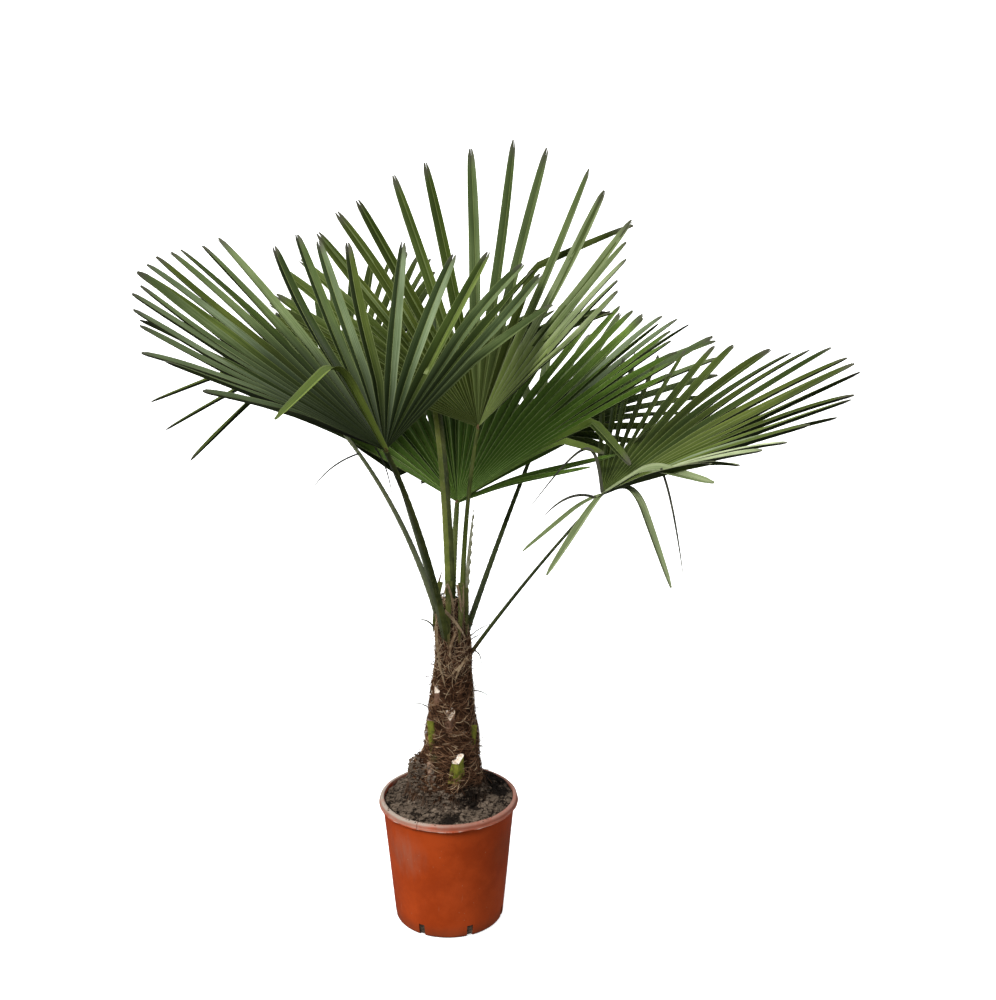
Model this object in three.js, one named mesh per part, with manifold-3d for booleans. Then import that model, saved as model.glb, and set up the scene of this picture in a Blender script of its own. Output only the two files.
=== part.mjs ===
// A young fan palm of the windmill kind in its plastic nursery pot.
//
// Sizes are millimetres and degrees. +Z is up, +X runs to the viewer's right and +Y runs away
// from the viewer. The origin is the middle of the pot's flat underside. An azimuth of 0 looks
// along +X and one of 90 along +Y, and an elevation of 90 is straight up.

import * as THREE from 'three';
import { mergeVertices } from 'three/addons/utils/BufferGeometryUtils.js';
import Module from 'manifold-3d';

const wasm = await Module();
wasm.setup();

// Driving sizes shared by the whole plant
const CLEARANCE = 0.3; // air between neighbours that touch on the real plant
const ROUND_SIDES = 40; // sides of the pot and of the soil

// The pot: a rolled rim over a wall that narrows to a rounded foot
const POT = {
  height: 262.6,
  rimRadius: 140,
  rimDepth: 12, // how far the rolled rim hangs down
  wallTop: 133.5, // outer radius just under the rim
  wallFoot: 110.5, // outer radius at the foot
  wall: 3.2,
  floor: 4,
  footRound: 7,
  slots: 7, // drain slots round the foot
  slotWidth: 13,
  slotHeight: 22,
  firstSlot: 242, // azimuth of the first slot
};

// The potting soil: nearly level with the rim and heaped up behind the trunk
const SOIL = { edge: 251, heap: 10, heapAzimuth: 110, waves: 2.2, footRadius: 84 };

// The trunk: centre line and radius at each height, wrapped in matted fibre
const TRUNK = {
  foot: 259,
  top: 665,
  sides: 18,
  rings: 18,
  // height, centre x, radius
  stations: [
    [259, 2, 66],
    [300, 4, 64],
    [345, 7, 58],
    [375, 8, 54.5],
    [410, 8, 51],
    [459, 8, 45.5],
    [507, 9.5, 40.5],
    [550, 11.5, 36.5],
    [590, 13, 34],
    [640, 14, 33],
    [665, 14, 31],
  ],
  lumps: 2.2, // unevenness of the fibre
  swelling: { azimuth: 182, width: 34, height: 332, reachUp: 20, reachDown: 55, size: 23 },
};

// Cut-off bases of old leaves: where each leaves the trunk, and how it is cut
const LEAF_BASES = [
  { azimuth: 283, foot: 304, top: 362, width: 33, depth: 15, stand: 13 },
  { azimuth: 217, foot: 360, top: 436, width: 25, depth: 14, stand: 11 },
  { azimuth: 331, foot: 358, top: 424, width: 24, depth: 14, stand: 10 },
  { azimuth: 268, foot: 404, top: 453, width: 25, depth: 12, stand: 5 },
  { azimuth: 222, foot: 460, top: 498, width: 20, depth: 11, stand: 6 },
  { azimuth: 229, foot: 298, top: 338, width: 22, depth: 12, stand: 9 },
  { azimuth: 100, foot: 330, top: 392, width: 28, depth: 14, stand: 11 },
  { azimuth: 50, foot: 392, top: 454, width: 26, depth: 14, stand: 10 },
  { azimuth: 150, foot: 440, top: 500, width: 25, depth: 13, stand: 9 },
];

// The folded new leaf that stands dry and pale beside the crown
const SPEAR = { foot: [38, 22, 665], tip: [53, 30, 850], width: 9, depth: 4 };

// Leaf blades. A blade is a pleated funnel of leaflets round its hub:
//   hub        where the leaf stalk meets the blade
//   axis       azimuth and elevation that the funnel opens towards
//   cone       angle between the axis and every leaflet
//   turn       where the middle leaflet lies, round the axis
//   half       angle from the middle leaflet to either outermost one, round the axis
//   crowding   how much closer the leaflets stand at the sides than in the middle
//   skew       which side of the middle stands widest, from -1 to 1
//   longest    where the longest leaflet lies, from the middle one
//   reach      length of the longest leaflet
//   shorter    how much shorter the outermost leaflets are, as a share
//   sag        how far the leaflets bow down under their weight
//   parted     where leaflets have swung aside together, over how many, and by what angle
// Bent leaflets are creased at their knee and run on from there towards an azimuth and elevation.
// Strays are torn leaflets that hang from the hub by themselves, knee and tip given in turn.
// The stalk starts at its foot in the crown and ends just clear of the hub. Its lean and rise
// place the bow, and from and to give its width across and its depth at either end.
const FRONDS = [
  {
    name: 'front_left', hub: [-91, -275, 1037], axis: [303, 74.5], cone: 60.7, turn: 23.1,
    leaflets: 27, half: 87.6, crowding: 0.22, skew: 0.53,
    longest: 6, reach: 499, shorter: 0.065, sag: 0.016,
    parted: [{ place: 22.4, spread: 2.6, angle: 9.5 }, { place: 14.6, spread: 2.2, angle: -2.6 }],
    strays: [{ knee: [-161, -335, 1202], tip: [-224, -590, 1153], width: 17 }],
    stalk: { foot: [0, -22, 600], lean: 0.41, rise: 0.6, from: [20, 14], to: [10, 8] },
  },
  {
    name: 'upright', hub: [62, 20, 1016], axis: [233.8, 54.5], cone: 55.9, turn: 26.9,
    leaflets: 24, half: 84.1, crowding: 0.45, skew: 0.2,
    longest: 4, reach: 567, shorter: 0.25, sag: 0.036,
    bent: [{ leaflet: 16, knee: 316, azimuth: -19, elevation: 26, beyond: 208 }],
    stalk: { foot: [29, -3, 665], lean: 0.18, rise: 0.58, from: [15, 12], to: [9, 7] },
  },
  {
    name: 'rear_upright', hub: [-26, 129, 1064], axis: [62.3, 72.2], cone: 54.8, turn: 163.9,
    leaflets: 24, half: 80.3, crowding: 0.2, skew: 0,
    longest: 0, reach: 438, shorter: 0.41, sag: 0.058,
    stalk: { foot: [8, -8, 665], lean: 0.15, rise: 0.67, from: [20, 14], to: [17, 9] },
  },
  {
    name: 'rear_low', hub: [18, 127, 840], axis: [217.4, 73.2], cone: 62.8, turn: 19.4,
    leaflets: 28, half: 83, crowding: 0, skew: 0,
    longest: 13, reach: 570, shorter: 0.09, sag: 0.193,
    bent: [
      { leaflet: 26, knee: 360, azimuth: -33, elevation: -37, beyond: 105 },
      { leaflet: 27, knee: 305, azimuth: -8, elevation: -12, beyond: 76 },
    ],
    strays: [
      { knee: [139, 60, 906], tip: [324, 0, 966], width: 13, roll: 50 },
      { knee: [121, 60, 896], tip: [274, -20, 947], width: 12, roll: 50 },
    ],
    stalk: { foot: [9, 13, 665], lean: 0.42, rise: 0.55, from: [15, 12], to: [10, 8] },
  },
  {
    name: 'rear_right', hub: [189, 325, 938], axis: [210.8, 59.3], cone: 89.7, turn: 30.9,
    leaflets: 26, half: 114.4, crowding: 0, skew: 0,
    longest: 0, reach: 492, shorter: 0.49, sag: 0.192,
    parted: [{ place: 11.8, spread: 1.9, angle: 7.5 }],
    stalk: { foot: [40, 6, 615], lean: 0.44, rise: 0.49, from: [13, 11], to: [8, 7], clear: 1.1 },
  },
  {
    name: 'right', hub: [296, -30, 896], axis: [220.3, 82.9], cone: 64.3, turn: -30,
    leaflets: 23, half: 74.6, crowding: 0, skew: 0,
    longest: 3, reach: 539, shorter: 0.27, sag: 0.148,
    strays: [
      { knee: [366, -190, 990], tip: [446, -415, 1014], width: 17, roll: 40 },
      { knee: [346, -120, 944], tip: [416, -160, 753], width: 17 },
      { knee: [263, -50, 890], tip: [146, -100, 805], width: 14 },
      { knee: [279, -70, 890], tip: [190, -130, 768], width: 15 },
    ],
    stalk: { foot: [40, -4, 560], lean: 0.44, rise: 0.5, from: [13, 11], to: [9, 7] },
  },
  {
    name: 'rear_left', hub: [-214, 183, 972], axis: [208.6, 63.2], cone: 60, turn: 47.9,
    leaflets: 20, half: 66, crowding: 0, skew: 0,
    longest: 0, reach: 486, shorter: 0.35, sag: 0.396,
    bent: [
      { leaflet: 0, knee: 235, azimuth: 180, elevation: -43, beyond: 184 },
      { leaflet: 1, knee: 290, azimuth: 180, elevation: -28, beyond: 186 },
      { leaflet: 2, knee: 351, azimuth: 180, elevation: -20, beyond: 192 },
    ],
    stalk: { foot: [-19, 3, 648], lean: 0.34, rise: 0.61, from: [16, 11], to: [9, 7] },
  },
  {
    name: 'low_left', hub: [-107, 235, 867], axis: [64.6, 87.8], cone: 66, turn: 197,
    leaflets: 18, half: 62, crowding: 0, skew: 0,
    longest: 0, reach: 370, shorter: 0.4, sag: 0.12,
    stalk: { foot: [-12, 14, 648], lean: 0.5, rise: 0.47, from: [12, 10], to: [8, 7] },
  },
];

const LEAFLET = {
  width: 22, // full width of one leaflet, laid flat
  fusedLeast: 0.27, // leaflets are joined at least over this share of their length
  fusedMost: 0.5,
  heel: 6, // how far the blade runs down over its stalk
  fold: 0.36, // height of a leaflet's V fold as a share of its width
  thickness: 0.0103, // thickness as a share of the middle leaflet's length
  // share of the free part, and width there as a share of the full width
  stations: [[0.3, 1.06], [0.78, 0.74]],
};

// Colours
const material = (color, roughness) => new THREE.MeshStandardMaterial({ color, roughness, metalness: 0 });
const TERRACOTTA = material(0xb4511f, 0.5);
const EARTH = material(0x3a332b, 0.95);
const FIBRE = material(0x5a3d2a, 0.95);
const LEAF_BASE = material(0x5f6b25, 0.6);
const SPEAR_LEAF = material(0xb9b79a, 0.7);
const STALK = material(0x56682b, 0.5);
const BLADE = material(0x44602f, 0.5);

// Unit vector at an azimuth and an elevation
function direction(azimuth, elevation) {
  const a = THREE.MathUtils.degToRad(azimuth);
  const e = THREE.MathUtils.degToRad(elevation);
  return new THREE.Vector3(Math.cos(e) * Math.cos(a), Math.cos(e) * Math.sin(a), Math.sin(e));
}

// How far an azimuth is turned from another one, from 0 to 180
function apart(azimuth, other) {
  return Math.abs(((azimuth - other + 540) % 360) - 180);
}

// A value read from a list of stations, with a smooth step between neighbours
function between(stations, at, column) {
  let i = 1;
  while (i < stations.length - 1 && at > stations[i][0]) i += 1;
  const [low, high] = [stations[i - 1], stations[i]];
  const share = THREE.MathUtils.clamp((at - low[0]) / (high[0] - low[0]), 0, 1);
  return THREE.MathUtils.lerp(low[column], high[column], share);
}

// Joins the points of a closed shape that lie on one another
function closed(geometry) {
  geometry.deleteAttribute('normal');
  geometry.deleteAttribute('uv');
  return mergeVertices(geometry, 1e-3);
}

// A closed round bar whose points are moved by a rule: share along it, then x and y across it
function bar(sides, rings, place) {
  const geometry = closed(new THREE.CylinderGeometry(1, 1, 1, sides, rings));
  const points = geometry.getAttribute('position');
  for (let i = 0; i < points.count; i += 1) {
    const moved = place(points.getY(i) + 0.5, points.getX(i), -points.getZ(i));
    points.setXYZ(i, moved.x, moved.y, moved.z);
  }
  return geometry;
}

// Between a three.js geometry and an exact solid that can be joined and cut
function solid(geometry) {
  const vertProperties = new Float32Array(geometry.getAttribute('position').array);
  const triVerts = new Uint32Array(geometry.getIndex().array);
  return new wasm.Manifold(new wasm.Mesh({ numProp: 3, vertProperties, triVerts }));
}

function geometryOf(body) {
  const { vertProperties, triVerts } = body.getMesh();
  const geometry = new THREE.BufferGeometry();
  geometry.setAttribute('position', new THREE.BufferAttribute(vertProperties, 3));
  geometry.setIndex(new THREE.BufferAttribute(triVerts, 1));
  return geometry;
}

function largest(body) {
  const pieces = body.decompose();
  return pieces.reduce((best, piece) => (piece.volume() > best.volume() ? piece : best));
}

// Pot: one turned wall with a rolled rim, and slots cut through its foot
function potInside(height) {
  const share = height / (POT.height - POT.rimDepth);
  return THREE.MathUtils.lerp(POT.wallFoot, POT.wallTop, Math.min(share, 1)) - POT.wall;
}

function turned(profile) {
  const lathe = new THREE.LatheGeometry(profile.map(([r, z]) => new THREE.Vector2(r, z)), ROUND_SIDES);
  lathe.rotateX(Math.PI / 2);
  return closed(lathe);
}

function makePot() {
  const { height, rimRadius, rimDepth, wallTop, wallFoot, footRound, floor } = POT;
  const under = height - rimDepth;
  const turnedWall = turned([
    [0, 0],
    [wallFoot - footRound, 0],
    [wallFoot - 2, footRound * 0.35],
    [wallFoot, footRound],
    [wallTop, under + 2],
    [rimRadius - 2, under + 1],
    [rimRadius, under + 3],
    [rimRadius, height - 4],
    [rimRadius - 3, height],
    [rimRadius - 7, height],
    [rimRadius - 10, height - 4],
    [potInside(under), under],
    [potInside(floor), floor],
    [0, floor],
  ]);
  let pot = solid(turnedWall);
  for (let i = 0; i < POT.slots; i += 1) {
    const slot = new THREE.BoxGeometry(POT.slotWidth, 3 * footRound, 2 * POT.slotHeight);
    slot.translate(0, -wallFoot, floor);
    slot.rotateZ(THREE.MathUtils.degToRad(POT.firstSlot - 270 + (360 / POT.slots) * i));
    pot = pot.subtract(solid(closed(slot)));
  }
  return geometryOf(largest(pot));
}

// Soil: fills the pot, with a flat seat under the trunk and an uneven surface round it
function makeSoil() {
  const side = potInside(SOIL.edge) - CLEARANCE;
  const profile = [
    [0, POT.floor + CLEARANCE],
    [potInside(POT.floor) - CLEARANCE, POT.floor + CLEARANCE],
    [potInside(POT.height - POT.rimDepth) - CLEARANCE, POT.height - POT.rimDepth],
    [side, SOIL.edge],
    [(side + SOIL.footRadius) / 2, SOIL.edge + 2],
    [SOIL.footRadius, TRUNK.foot - CLEARANCE],
    [0, TRUNK.foot - CLEARANCE],
  ];
  const soil = turned(profile);
  const points = soil.getAttribute('position');
  for (let i = 0; i < points.count; i += 1) {
    const [x, y, z] = [points.getX(i), points.getY(i), points.getZ(i)];
    const radius = Math.hypot(x, y);
    const azimuth = Math.atan2(y, x);
    const open = z > SOIL.edge + 1 && radius > SOIL.footRadius + 1;
    const towardsHeap = Math.cos(azimuth - THREE.MathUtils.degToRad(SOIL.heapAzimuth));
    const lift = SOIL.heap * Math.max(0, towardsHeap) + SOIL.waves * Math.sin(7 * azimuth);
    if (open) points.setZ(i, z + lift);
  }
  return soil;
}

// Trunk: a tapering, slightly leaning column with a swelling low on its left
function trunkRadius(height, azimuth) {
  const { swelling, lumps } = TRUNK;
  const a = THREE.MathUtils.degToRad(azimuth);
  const lump = lumps * Math.sin(5 * a + height / 23) * Math.cos(3 * a - height / 41);
  const aside = apart(azimuth, swelling.azimuth) / swelling.width;
  const rise = height - swelling.height;
  const above = rise / (rise > 0 ? swelling.reachUp : swelling.reachDown);
  const bulge = swelling.size * Math.exp(-aside * aside) * Math.exp(-above * above);
  return between(TRUNK.stations, height, 2) + lump + bulge;
}

function trunkPoint(height, azimuth, out) {
  const level = direction(azimuth, 0).multiplyScalar(trunkRadius(height, azimuth) + out);
  return level.add(new THREE.Vector3(between(TRUNK.stations, height, 1), 0, height));
}

function makeTrunk(out) {
  return bar(TRUNK.sides, TRUNK.rings, (share, x, y) => {
    const height = THREE.MathUtils.lerp(TRUNK.foot - out, TRUNK.top + out, share);
    const centre = new THREE.Vector3(between(TRUNK.stations, height, 1), 0, height);
    const azimuth = (THREE.MathUtils.radToDeg(Math.atan2(y, x)) + 360) % 360;
    const onAxis = Math.hypot(x, y) < 0.5;
    return onAxis ? centre : trunkPoint(height, azimuth, out);
  });
}

const trunkKeepOut = solid(makeTrunk(CLEARANCE));

// Leaf base: a short stub that leans out of the fibre, cut off at its top
function makeLeafBase(base) {
  const { azimuth, foot, top, width, depth, stand } = base;
  const out = direction(azimuth, 0);
  const across = direction(azimuth - 90, 0);
  const stub = bar(8, 2, (share, x, y) => {
    const height = THREE.MathUtils.lerp(foot, top, share) + share * y * 4;
    const swell = 0.72 + 0.28 * Math.sin(Math.PI * Math.min(1, share + 0.25));
    const surface = trunkPoint(height, azimuth, THREE.MathUtils.lerp(-depth, stand - depth / 2, share));
    surface.addScaledVector(across, (x * width * swell) / 2);
    return surface.addScaledVector(out, (y * depth) / 2);
  });
  return geometryOf(largest(solid(stub).subtract(trunkKeepOut)));
}

// The dry new leaf: a flat tapering blade that stands on the crown
function makeSpear() {
  const foot = new THREE.Vector3(...SPEAR.foot);
  const tip = new THREE.Vector3(...SPEAR.tip);
  const spear = bar(6, 3, (share, x, y) => {
    const thin = 1 - 0.55 * share * share;
    const centre = foot.clone().lerp(tip, share);
    return centre.add(new THREE.Vector3((x * SPEAR.width * thin) / 2, (y * SPEAR.depth * thin) / 2, 0));
  });
  return geometryOf(largest(solid(spear).subtract(trunkKeepOut)));
}

// The three directions that a blade is laid out in: out of the funnel, its middle and its side
function bladeFrame(frond) {
  const axis = direction(...frond.axis);
  const up = new THREE.Vector3(0, 0, 1);
  const level = up.clone().addScaledVector(axis, -axis.dot(up)).normalize();
  const turn = THREE.MathUtils.degToRad(frond.turn);
  const middle = level.clone().multiplyScalar(Math.cos(turn));
  middle.addScaledVector(axis.clone().cross(level), Math.sin(turn));
  return { axis, middle, side: middle.clone().cross(axis) };
}

// Angle round the axis of a place among the leaflets, where place 0 is the first leaflet
function leafletAngle(frond, place) {
  const across = (2 * place) / (frond.leaflets - 1) - 1;
  const crowded = (frond.crowding / Math.PI) * Math.sin(Math.PI * (across - frond.skew));
  let angle = frond.half * (across + crowded);
  for (const part of frond.parted ?? []) {
    angle += part.angle * Math.exp(-(((place - part.place) / part.spread) ** 2));
  }
  return angle;
}

// The straight line that a place among the leaflets would follow, and its directions
function leafletLine(frond, frame, place) {
  const angle = THREE.MathUtils.degToRad(leafletAngle(frond, place));
  const cone = THREE.MathUtils.degToRad(frond.cone);
  const spread = frame.middle.clone().multiplyScalar(Math.cos(angle));
  spread.addScaledVector(frame.side, Math.sin(angle));
  const along = spread.clone().multiplyScalar(Math.sin(cone)).addScaledVector(frame.axis, Math.cos(cone));
  const across = frame.middle.clone().multiplyScalar(-Math.sin(angle));
  across.addScaledVector(frame.side, Math.cos(angle));
  const inward = across.clone().cross(along);
  const edge = (leafletAngle(frond, place) - frond.longest) / frond.half;
  let reach = frond.reach * (1 - frond.shorter * edge * edge);
  const step = leafletAngle(frond, place + 0.5) - leafletAngle(frond, place - 0.5);
  const spacing = Math.sin(cone) * THREE.MathUtils.degToRad(step); // per millimetre from the hub
  const fused = THREE.MathUtils.clamp(
    LEAFLET.width / spacing,
    LEAFLET.fusedLeast * reach,
    LEAFLET.fusedMost * reach,
  );
  const bend = (frond.bent ?? []).find((one) => one.leaflet === place);
  if (bend) reach = bend.knee + bend.beyond;
  return { along, across, inward, reach, spacing, fused, bend };
}

// A point on a leaflet: distance from the hub, then sideways and upwards out of its line
function leafletPoint(frond, line, distance, sideways, lift) {
  const point = new THREE.Vector3(...frond.hub);
  const knee = line.bend ? line.bend.knee : Infinity;
  const straight = Math.min(distance, knee);
  const sag = (frond.sag / 1000) * straight * straight * (1 - line.along.z ** 2);
  point.addScaledVector(line.along, straight);
  point.z -= sag;
  if (distance <= knee) {
    return point.addScaledVector(line.across, sideways).addScaledVector(line.inward, lift);
  }
  const onward = direction(line.bend.azimuth, line.bend.elevation);
  const across = line.across.clone().addScaledVector(onward, -line.across.dot(onward)).normalize();
  point.addScaledVector(onward, distance - knee);
  return point.addScaledVector(across, sideways).addScaledVector(across.cross(onward), lift);
}

// A list of points and faces that grows into one closed mesh
class Skin {
  constructor() {
    this.points = [];
    this.faces = [];
  }

  point(vector) {
    this.points.push(vector.x, vector.y, vector.z);
    return this.points.length / 3 - 1;
  }

  face(...corners) {
    for (let i = 2; i < corners.length; i += 1) this.faces.push(corners[0], corners[i - 1], corners[i]);
  }

  geometry() {
    const geometry = new THREE.BufferGeometry();
    geometry.setAttribute('position', new THREE.Float32BufferAttribute(this.points, 3));
    geometry.setIndex(this.faces);
    return geometry;
  }
}

// The rows of points across a free leaflet, from where it leaves its neighbours to near its tip
function leafletRows(line) {
  const rows = LEAFLET.stations.map(([share, width]) => [
    line.fused + share * (line.reach - line.fused),
    width * LEAFLET.width,
  ]);
  if (line.bend) rows[0] = [line.bend.knee, LEAFLET.width];
  return rows.sort((a, b) => a[0] - b[0]).filter(([at]) => at > line.fused + 10);
}

// Blade: pleats that are joined near the hub and run out into free, tapering leaflets
function makeBlade(frond, stalkDirection) {
  const frame = bladeFrame(frond);
  const skin = new Skin();
  const thick = LEAFLET.thickness * frond.reach;
  const hub = new THREE.Vector3(...frond.hub);
  const top = skin.point(hub.clone().addScaledVector(frame.axis, thick));
  const seat = hub.clone().addScaledVector(stalkDirection, -LEAFLET.heel);
  seat.addScaledVector(frame.axis, -thick / 2);
  const bottom = skin.point(seat);
  const ridges = [];
  for (let i = 0; i <= frond.leaflets; i += 1) {
    const line = leafletLine(frond, frame, i - 0.5);
    const rise = (LEAFLET.fold * line.fused * line.spacing) / 2;
    ridges.push([1, -1].map((face) => {
      const lift = rise + (face * thick) / 2;
      return skin.point(leafletPoint(frond, line, line.fused, 0, lift));
    }));
  }
  skin.face(bottom, top, ...ridges[0]);
  skin.face(top, bottom, ...ridges[frond.leaflets].toReversed());
  for (let i = 0; i < frond.leaflets; i += 1) {
    const line = leafletLine(frond, frame, i);
    const [leftTop, leftBottom] = ridges[i];
    const [rightTop, rightBottom] = ridges[i + 1];
    const drop = (LEAFLET.fold * line.fused * line.spacing) / 2;
    let keelTop = skin.point(leafletPoint(frond, line, line.fused, 0, thick / 2 - drop));
    let keelBottom = skin.point(leafletPoint(frond, line, line.fused, 0, -thick / 2 - drop));
    skin.face(top, keelTop, leftTop);
    skin.face(top, rightTop, keelTop);
    skin.face(bottom, leftBottom, keelBottom);
    skin.face(bottom, keelBottom, rightBottom);
    let [left, right] = [[leftTop, leftBottom], [rightTop, rightBottom]];
    for (const [at, fullWidth] of leafletRows(line)) {
      const width = Math.min(fullWidth, 0.86 * at * line.spacing);
      const fold = (LEAFLET.fold * width) / 2;
      const nextLeft = skin.point(leafletPoint(frond, line, at, -width / 2, fold));
      const nextRight = skin.point(leafletPoint(frond, line, at, width / 2, fold));
      const nextTop = skin.point(leafletPoint(frond, line, at, 0, thick / 2 - fold));
      const nextBottom = skin.point(leafletPoint(frond, line, at, 0, -thick / 2 - fold));
      skin.face(left[0], keelTop, nextTop, nextLeft);
      skin.face(keelTop, right[0], nextRight, nextTop);
      skin.face(keelBottom, left.at(-1), nextLeft, nextBottom);
      skin.face(right.at(-1), keelBottom, nextBottom, nextRight);
      if (left.length > 1) skin.face(left[1], left[0], nextLeft);
      if (right.length > 1) skin.face(right[0], right[1], nextRight);
      [left, right, keelTop, keelBottom] = [[nextLeft], [nextRight], nextTop, nextBottom];
    }
    const tip = skin.point(leafletPoint(frond, line, line.reach, 0, 0));
    skin.face(left[0], keelTop, tip);
    skin.face(keelTop, right[0], tip);
    skin.face(keelBottom, left[0], tip);
    skin.face(right[0], keelBottom, tip);
  }
  return addStrays(frond, skin.geometry());
}

// Torn leaflets that hang from the hub: each a slim blade in two straight runs, joined on
function addStrays(frond, blade) {
  let body = solid(blade);
  for (const { knee, tip, width, roll = 0 } of frond.strays ?? []) {
    const [hub, bendPoint, end] = [frond.hub, knee, tip].map((place) => new THREE.Vector3(...place));
    const length = bendPoint.distanceTo(hub) + end.distanceTo(bendPoint);
    const kneeShare = bendPoint.distanceTo(hub) / length;
    const thick = 0.0105 * length;
    const stray = bar(4, 5, (share, x, y) => {
      const centre = share < kneeShare
        ? hub.clone().lerp(bendPoint, share / kneeShare)
        : bendPoint.clone().lerp(end, (share - kneeShare) / (1 - kneeShare));
      const along = end.clone().sub(hub).normalize();
      const across = along.clone().cross(new THREE.Vector3(0, 0, 1)).normalize();
      across.applyAxisAngle(along, THREE.MathUtils.degToRad(roll));
      const taper = 0.3 + 0.7 * Math.sin(Math.PI * (0.12 + 0.83 * share));
      centre.addScaledVector(across, (x * width * taper) / 2);
      return centre.addScaledVector(along.clone().cross(across), (y * thick * taper) / 2);
    });
    body = body.add(solid(stray));
  }
  return geometryOf(largest(body));
}

// Leaf stalk: a bowed, tapering limb from the crown to just short of the blade's hub
function stalkCurve(frond) {
  const foot = new THREE.Vector3(...frond.stalk.foot);
  const hub = new THREE.Vector3(...frond.hub);
  const bow = hub.clone().sub(foot);
  bow.multiply(new THREE.Vector3(frond.stalk.lean, frond.stalk.lean, frond.stalk.rise)).add(foot);
  return new THREE.QuadraticBezierCurve3(foot, bow, hub);
}

function makeStalk(frond, curve, end) {
  const { from, to } = frond.stalk;
  const outward = curve.v2.clone().sub(curve.v0).setZ(0).normalize();
  const across = new THREE.Vector3(-outward.y, outward.x, 0);
  const shift = end.clone().sub(curve.v2);
  const stalk = bar(8, 9, (share, x, y) => {
    const narrowed = share > 0.999 ? 0.3 : 1;
    const swollen = Math.pow(1 - share, 1.6);
    const width = THREE.MathUtils.lerp(to[0], from[0], swollen) * narrowed;
    const depth = THREE.MathUtils.lerp(to[1], from[1], swollen) * narrowed;
    const normal = curve.getTangent(share).cross(across);
    const centre = curve.getPoint(share).addScaledVector(shift, share);
    centre.addScaledVector(across, (x * width) / 2);
    return centre.addScaledVector(normal, (y * depth) / 2);
  });
  return geometryOf(largest(solid(stalk).subtract(trunkKeepOut)));
}

// The whole plant
const palm = new THREE.Group();

function add(name, geometry, finish) {
  geometry.computeVertexNormals();
  const mesh = new THREE.Mesh(geometry, finish);
  mesh.name = name;
  palm.add(mesh);
}

add('pot', makePot(), TERRACOTTA);
add('soil', makeSoil(), EARTH);
add('trunk', makeTrunk(0), FIBRE);
LEAF_BASES.forEach((base, i) => add(`leaf_base_${i + 1}`, makeLeafBase(base), LEAF_BASE));
add('spear_leaf', makeSpear(), SPEAR_LEAF);

for (const frond of FRONDS) {
  const curve = stalkCurve(frond);
  const stalkDirection = curve.getTangent(1);
  const blade = makeBlade(frond, stalkDirection);
  const thick = LEAFLET.thickness * frond.reach;
  const short = LEAFLET.heel + (frond.stalk.clear ?? 0.4);
  const seat = new THREE.Vector3(...frond.hub).addScaledVector(stalkDirection, -short);
  seat.addScaledVector(bladeFrame(frond).axis, -thick / 2);
  add(`stalk_${frond.name}`, makeStalk(frond, curve, seat), STALK);
  add(`frond_${frond.name}`, blade, BLADE);
}

export default palm;
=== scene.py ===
# %% [markdown]
# # A potted fan palm
#
# The real plant is a young palm, about one and a half metres tall, that still stands in the
# plastic pot it was grown in. Eight stiff, pleated leaves on long stalks rise from a trunk that is
# wrapped in matted brown fibre. This lesson dresses a plain solid model of it, piece by piece.
# Every size is a real one. The plan is kept in millimetres and degrees, and the meshes in metres.

# %% The solid model that every piece is fitted to
import math
import random

import bmesh
import bpy
from mathutils import Matrix, Vector, noise


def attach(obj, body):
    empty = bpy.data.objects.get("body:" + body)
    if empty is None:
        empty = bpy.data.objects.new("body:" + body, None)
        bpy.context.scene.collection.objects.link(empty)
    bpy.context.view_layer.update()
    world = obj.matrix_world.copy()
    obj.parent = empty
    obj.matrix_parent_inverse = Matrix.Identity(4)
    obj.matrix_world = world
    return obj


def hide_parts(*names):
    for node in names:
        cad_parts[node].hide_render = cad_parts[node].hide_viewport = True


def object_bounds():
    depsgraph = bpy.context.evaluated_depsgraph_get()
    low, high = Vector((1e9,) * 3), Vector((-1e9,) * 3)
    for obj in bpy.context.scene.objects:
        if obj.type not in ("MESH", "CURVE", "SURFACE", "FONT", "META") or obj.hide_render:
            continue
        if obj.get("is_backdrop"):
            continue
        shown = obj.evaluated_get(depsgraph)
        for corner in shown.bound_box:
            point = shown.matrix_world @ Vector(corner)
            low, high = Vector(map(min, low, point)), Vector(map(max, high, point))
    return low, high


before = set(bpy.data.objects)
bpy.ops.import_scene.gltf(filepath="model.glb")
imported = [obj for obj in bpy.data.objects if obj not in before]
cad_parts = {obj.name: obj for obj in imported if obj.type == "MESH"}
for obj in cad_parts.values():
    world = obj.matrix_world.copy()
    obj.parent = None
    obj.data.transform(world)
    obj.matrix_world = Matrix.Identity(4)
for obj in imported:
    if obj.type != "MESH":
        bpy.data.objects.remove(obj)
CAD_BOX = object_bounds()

MM = 0.001
UP = Vector((0, 0, 1))


def as_mesh(name, bm):
    mesh = bpy.data.meshes.new(name)
    bm.to_mesh(mesh)
    bm.free()
    return mesh


def put_in_scene(name, data):
    made = bpy.data.objects.new(name, data)
    bpy.context.scene.collection.objects.link(made)
    return made


print("solid model from", [round(v, 3) for v in CAD_BOX[0]], "to", [round(v, 3) for v in CAD_BOX[1]])

# %% [markdown]
# ## Camera
#
# The photograph was taken standing up, about two and a half metres away, with the camera tipped
# down a little. The camera here matches that viewpoint.

# %% Camera
CAMERA_PLACE = (0.10, -2.594, 1.554)
CAMERA_PITCH = 14.62  # degrees down from level
FOCAL_LENGTH = 50.4  # millimetres, behind a 36 mm frame

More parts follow.
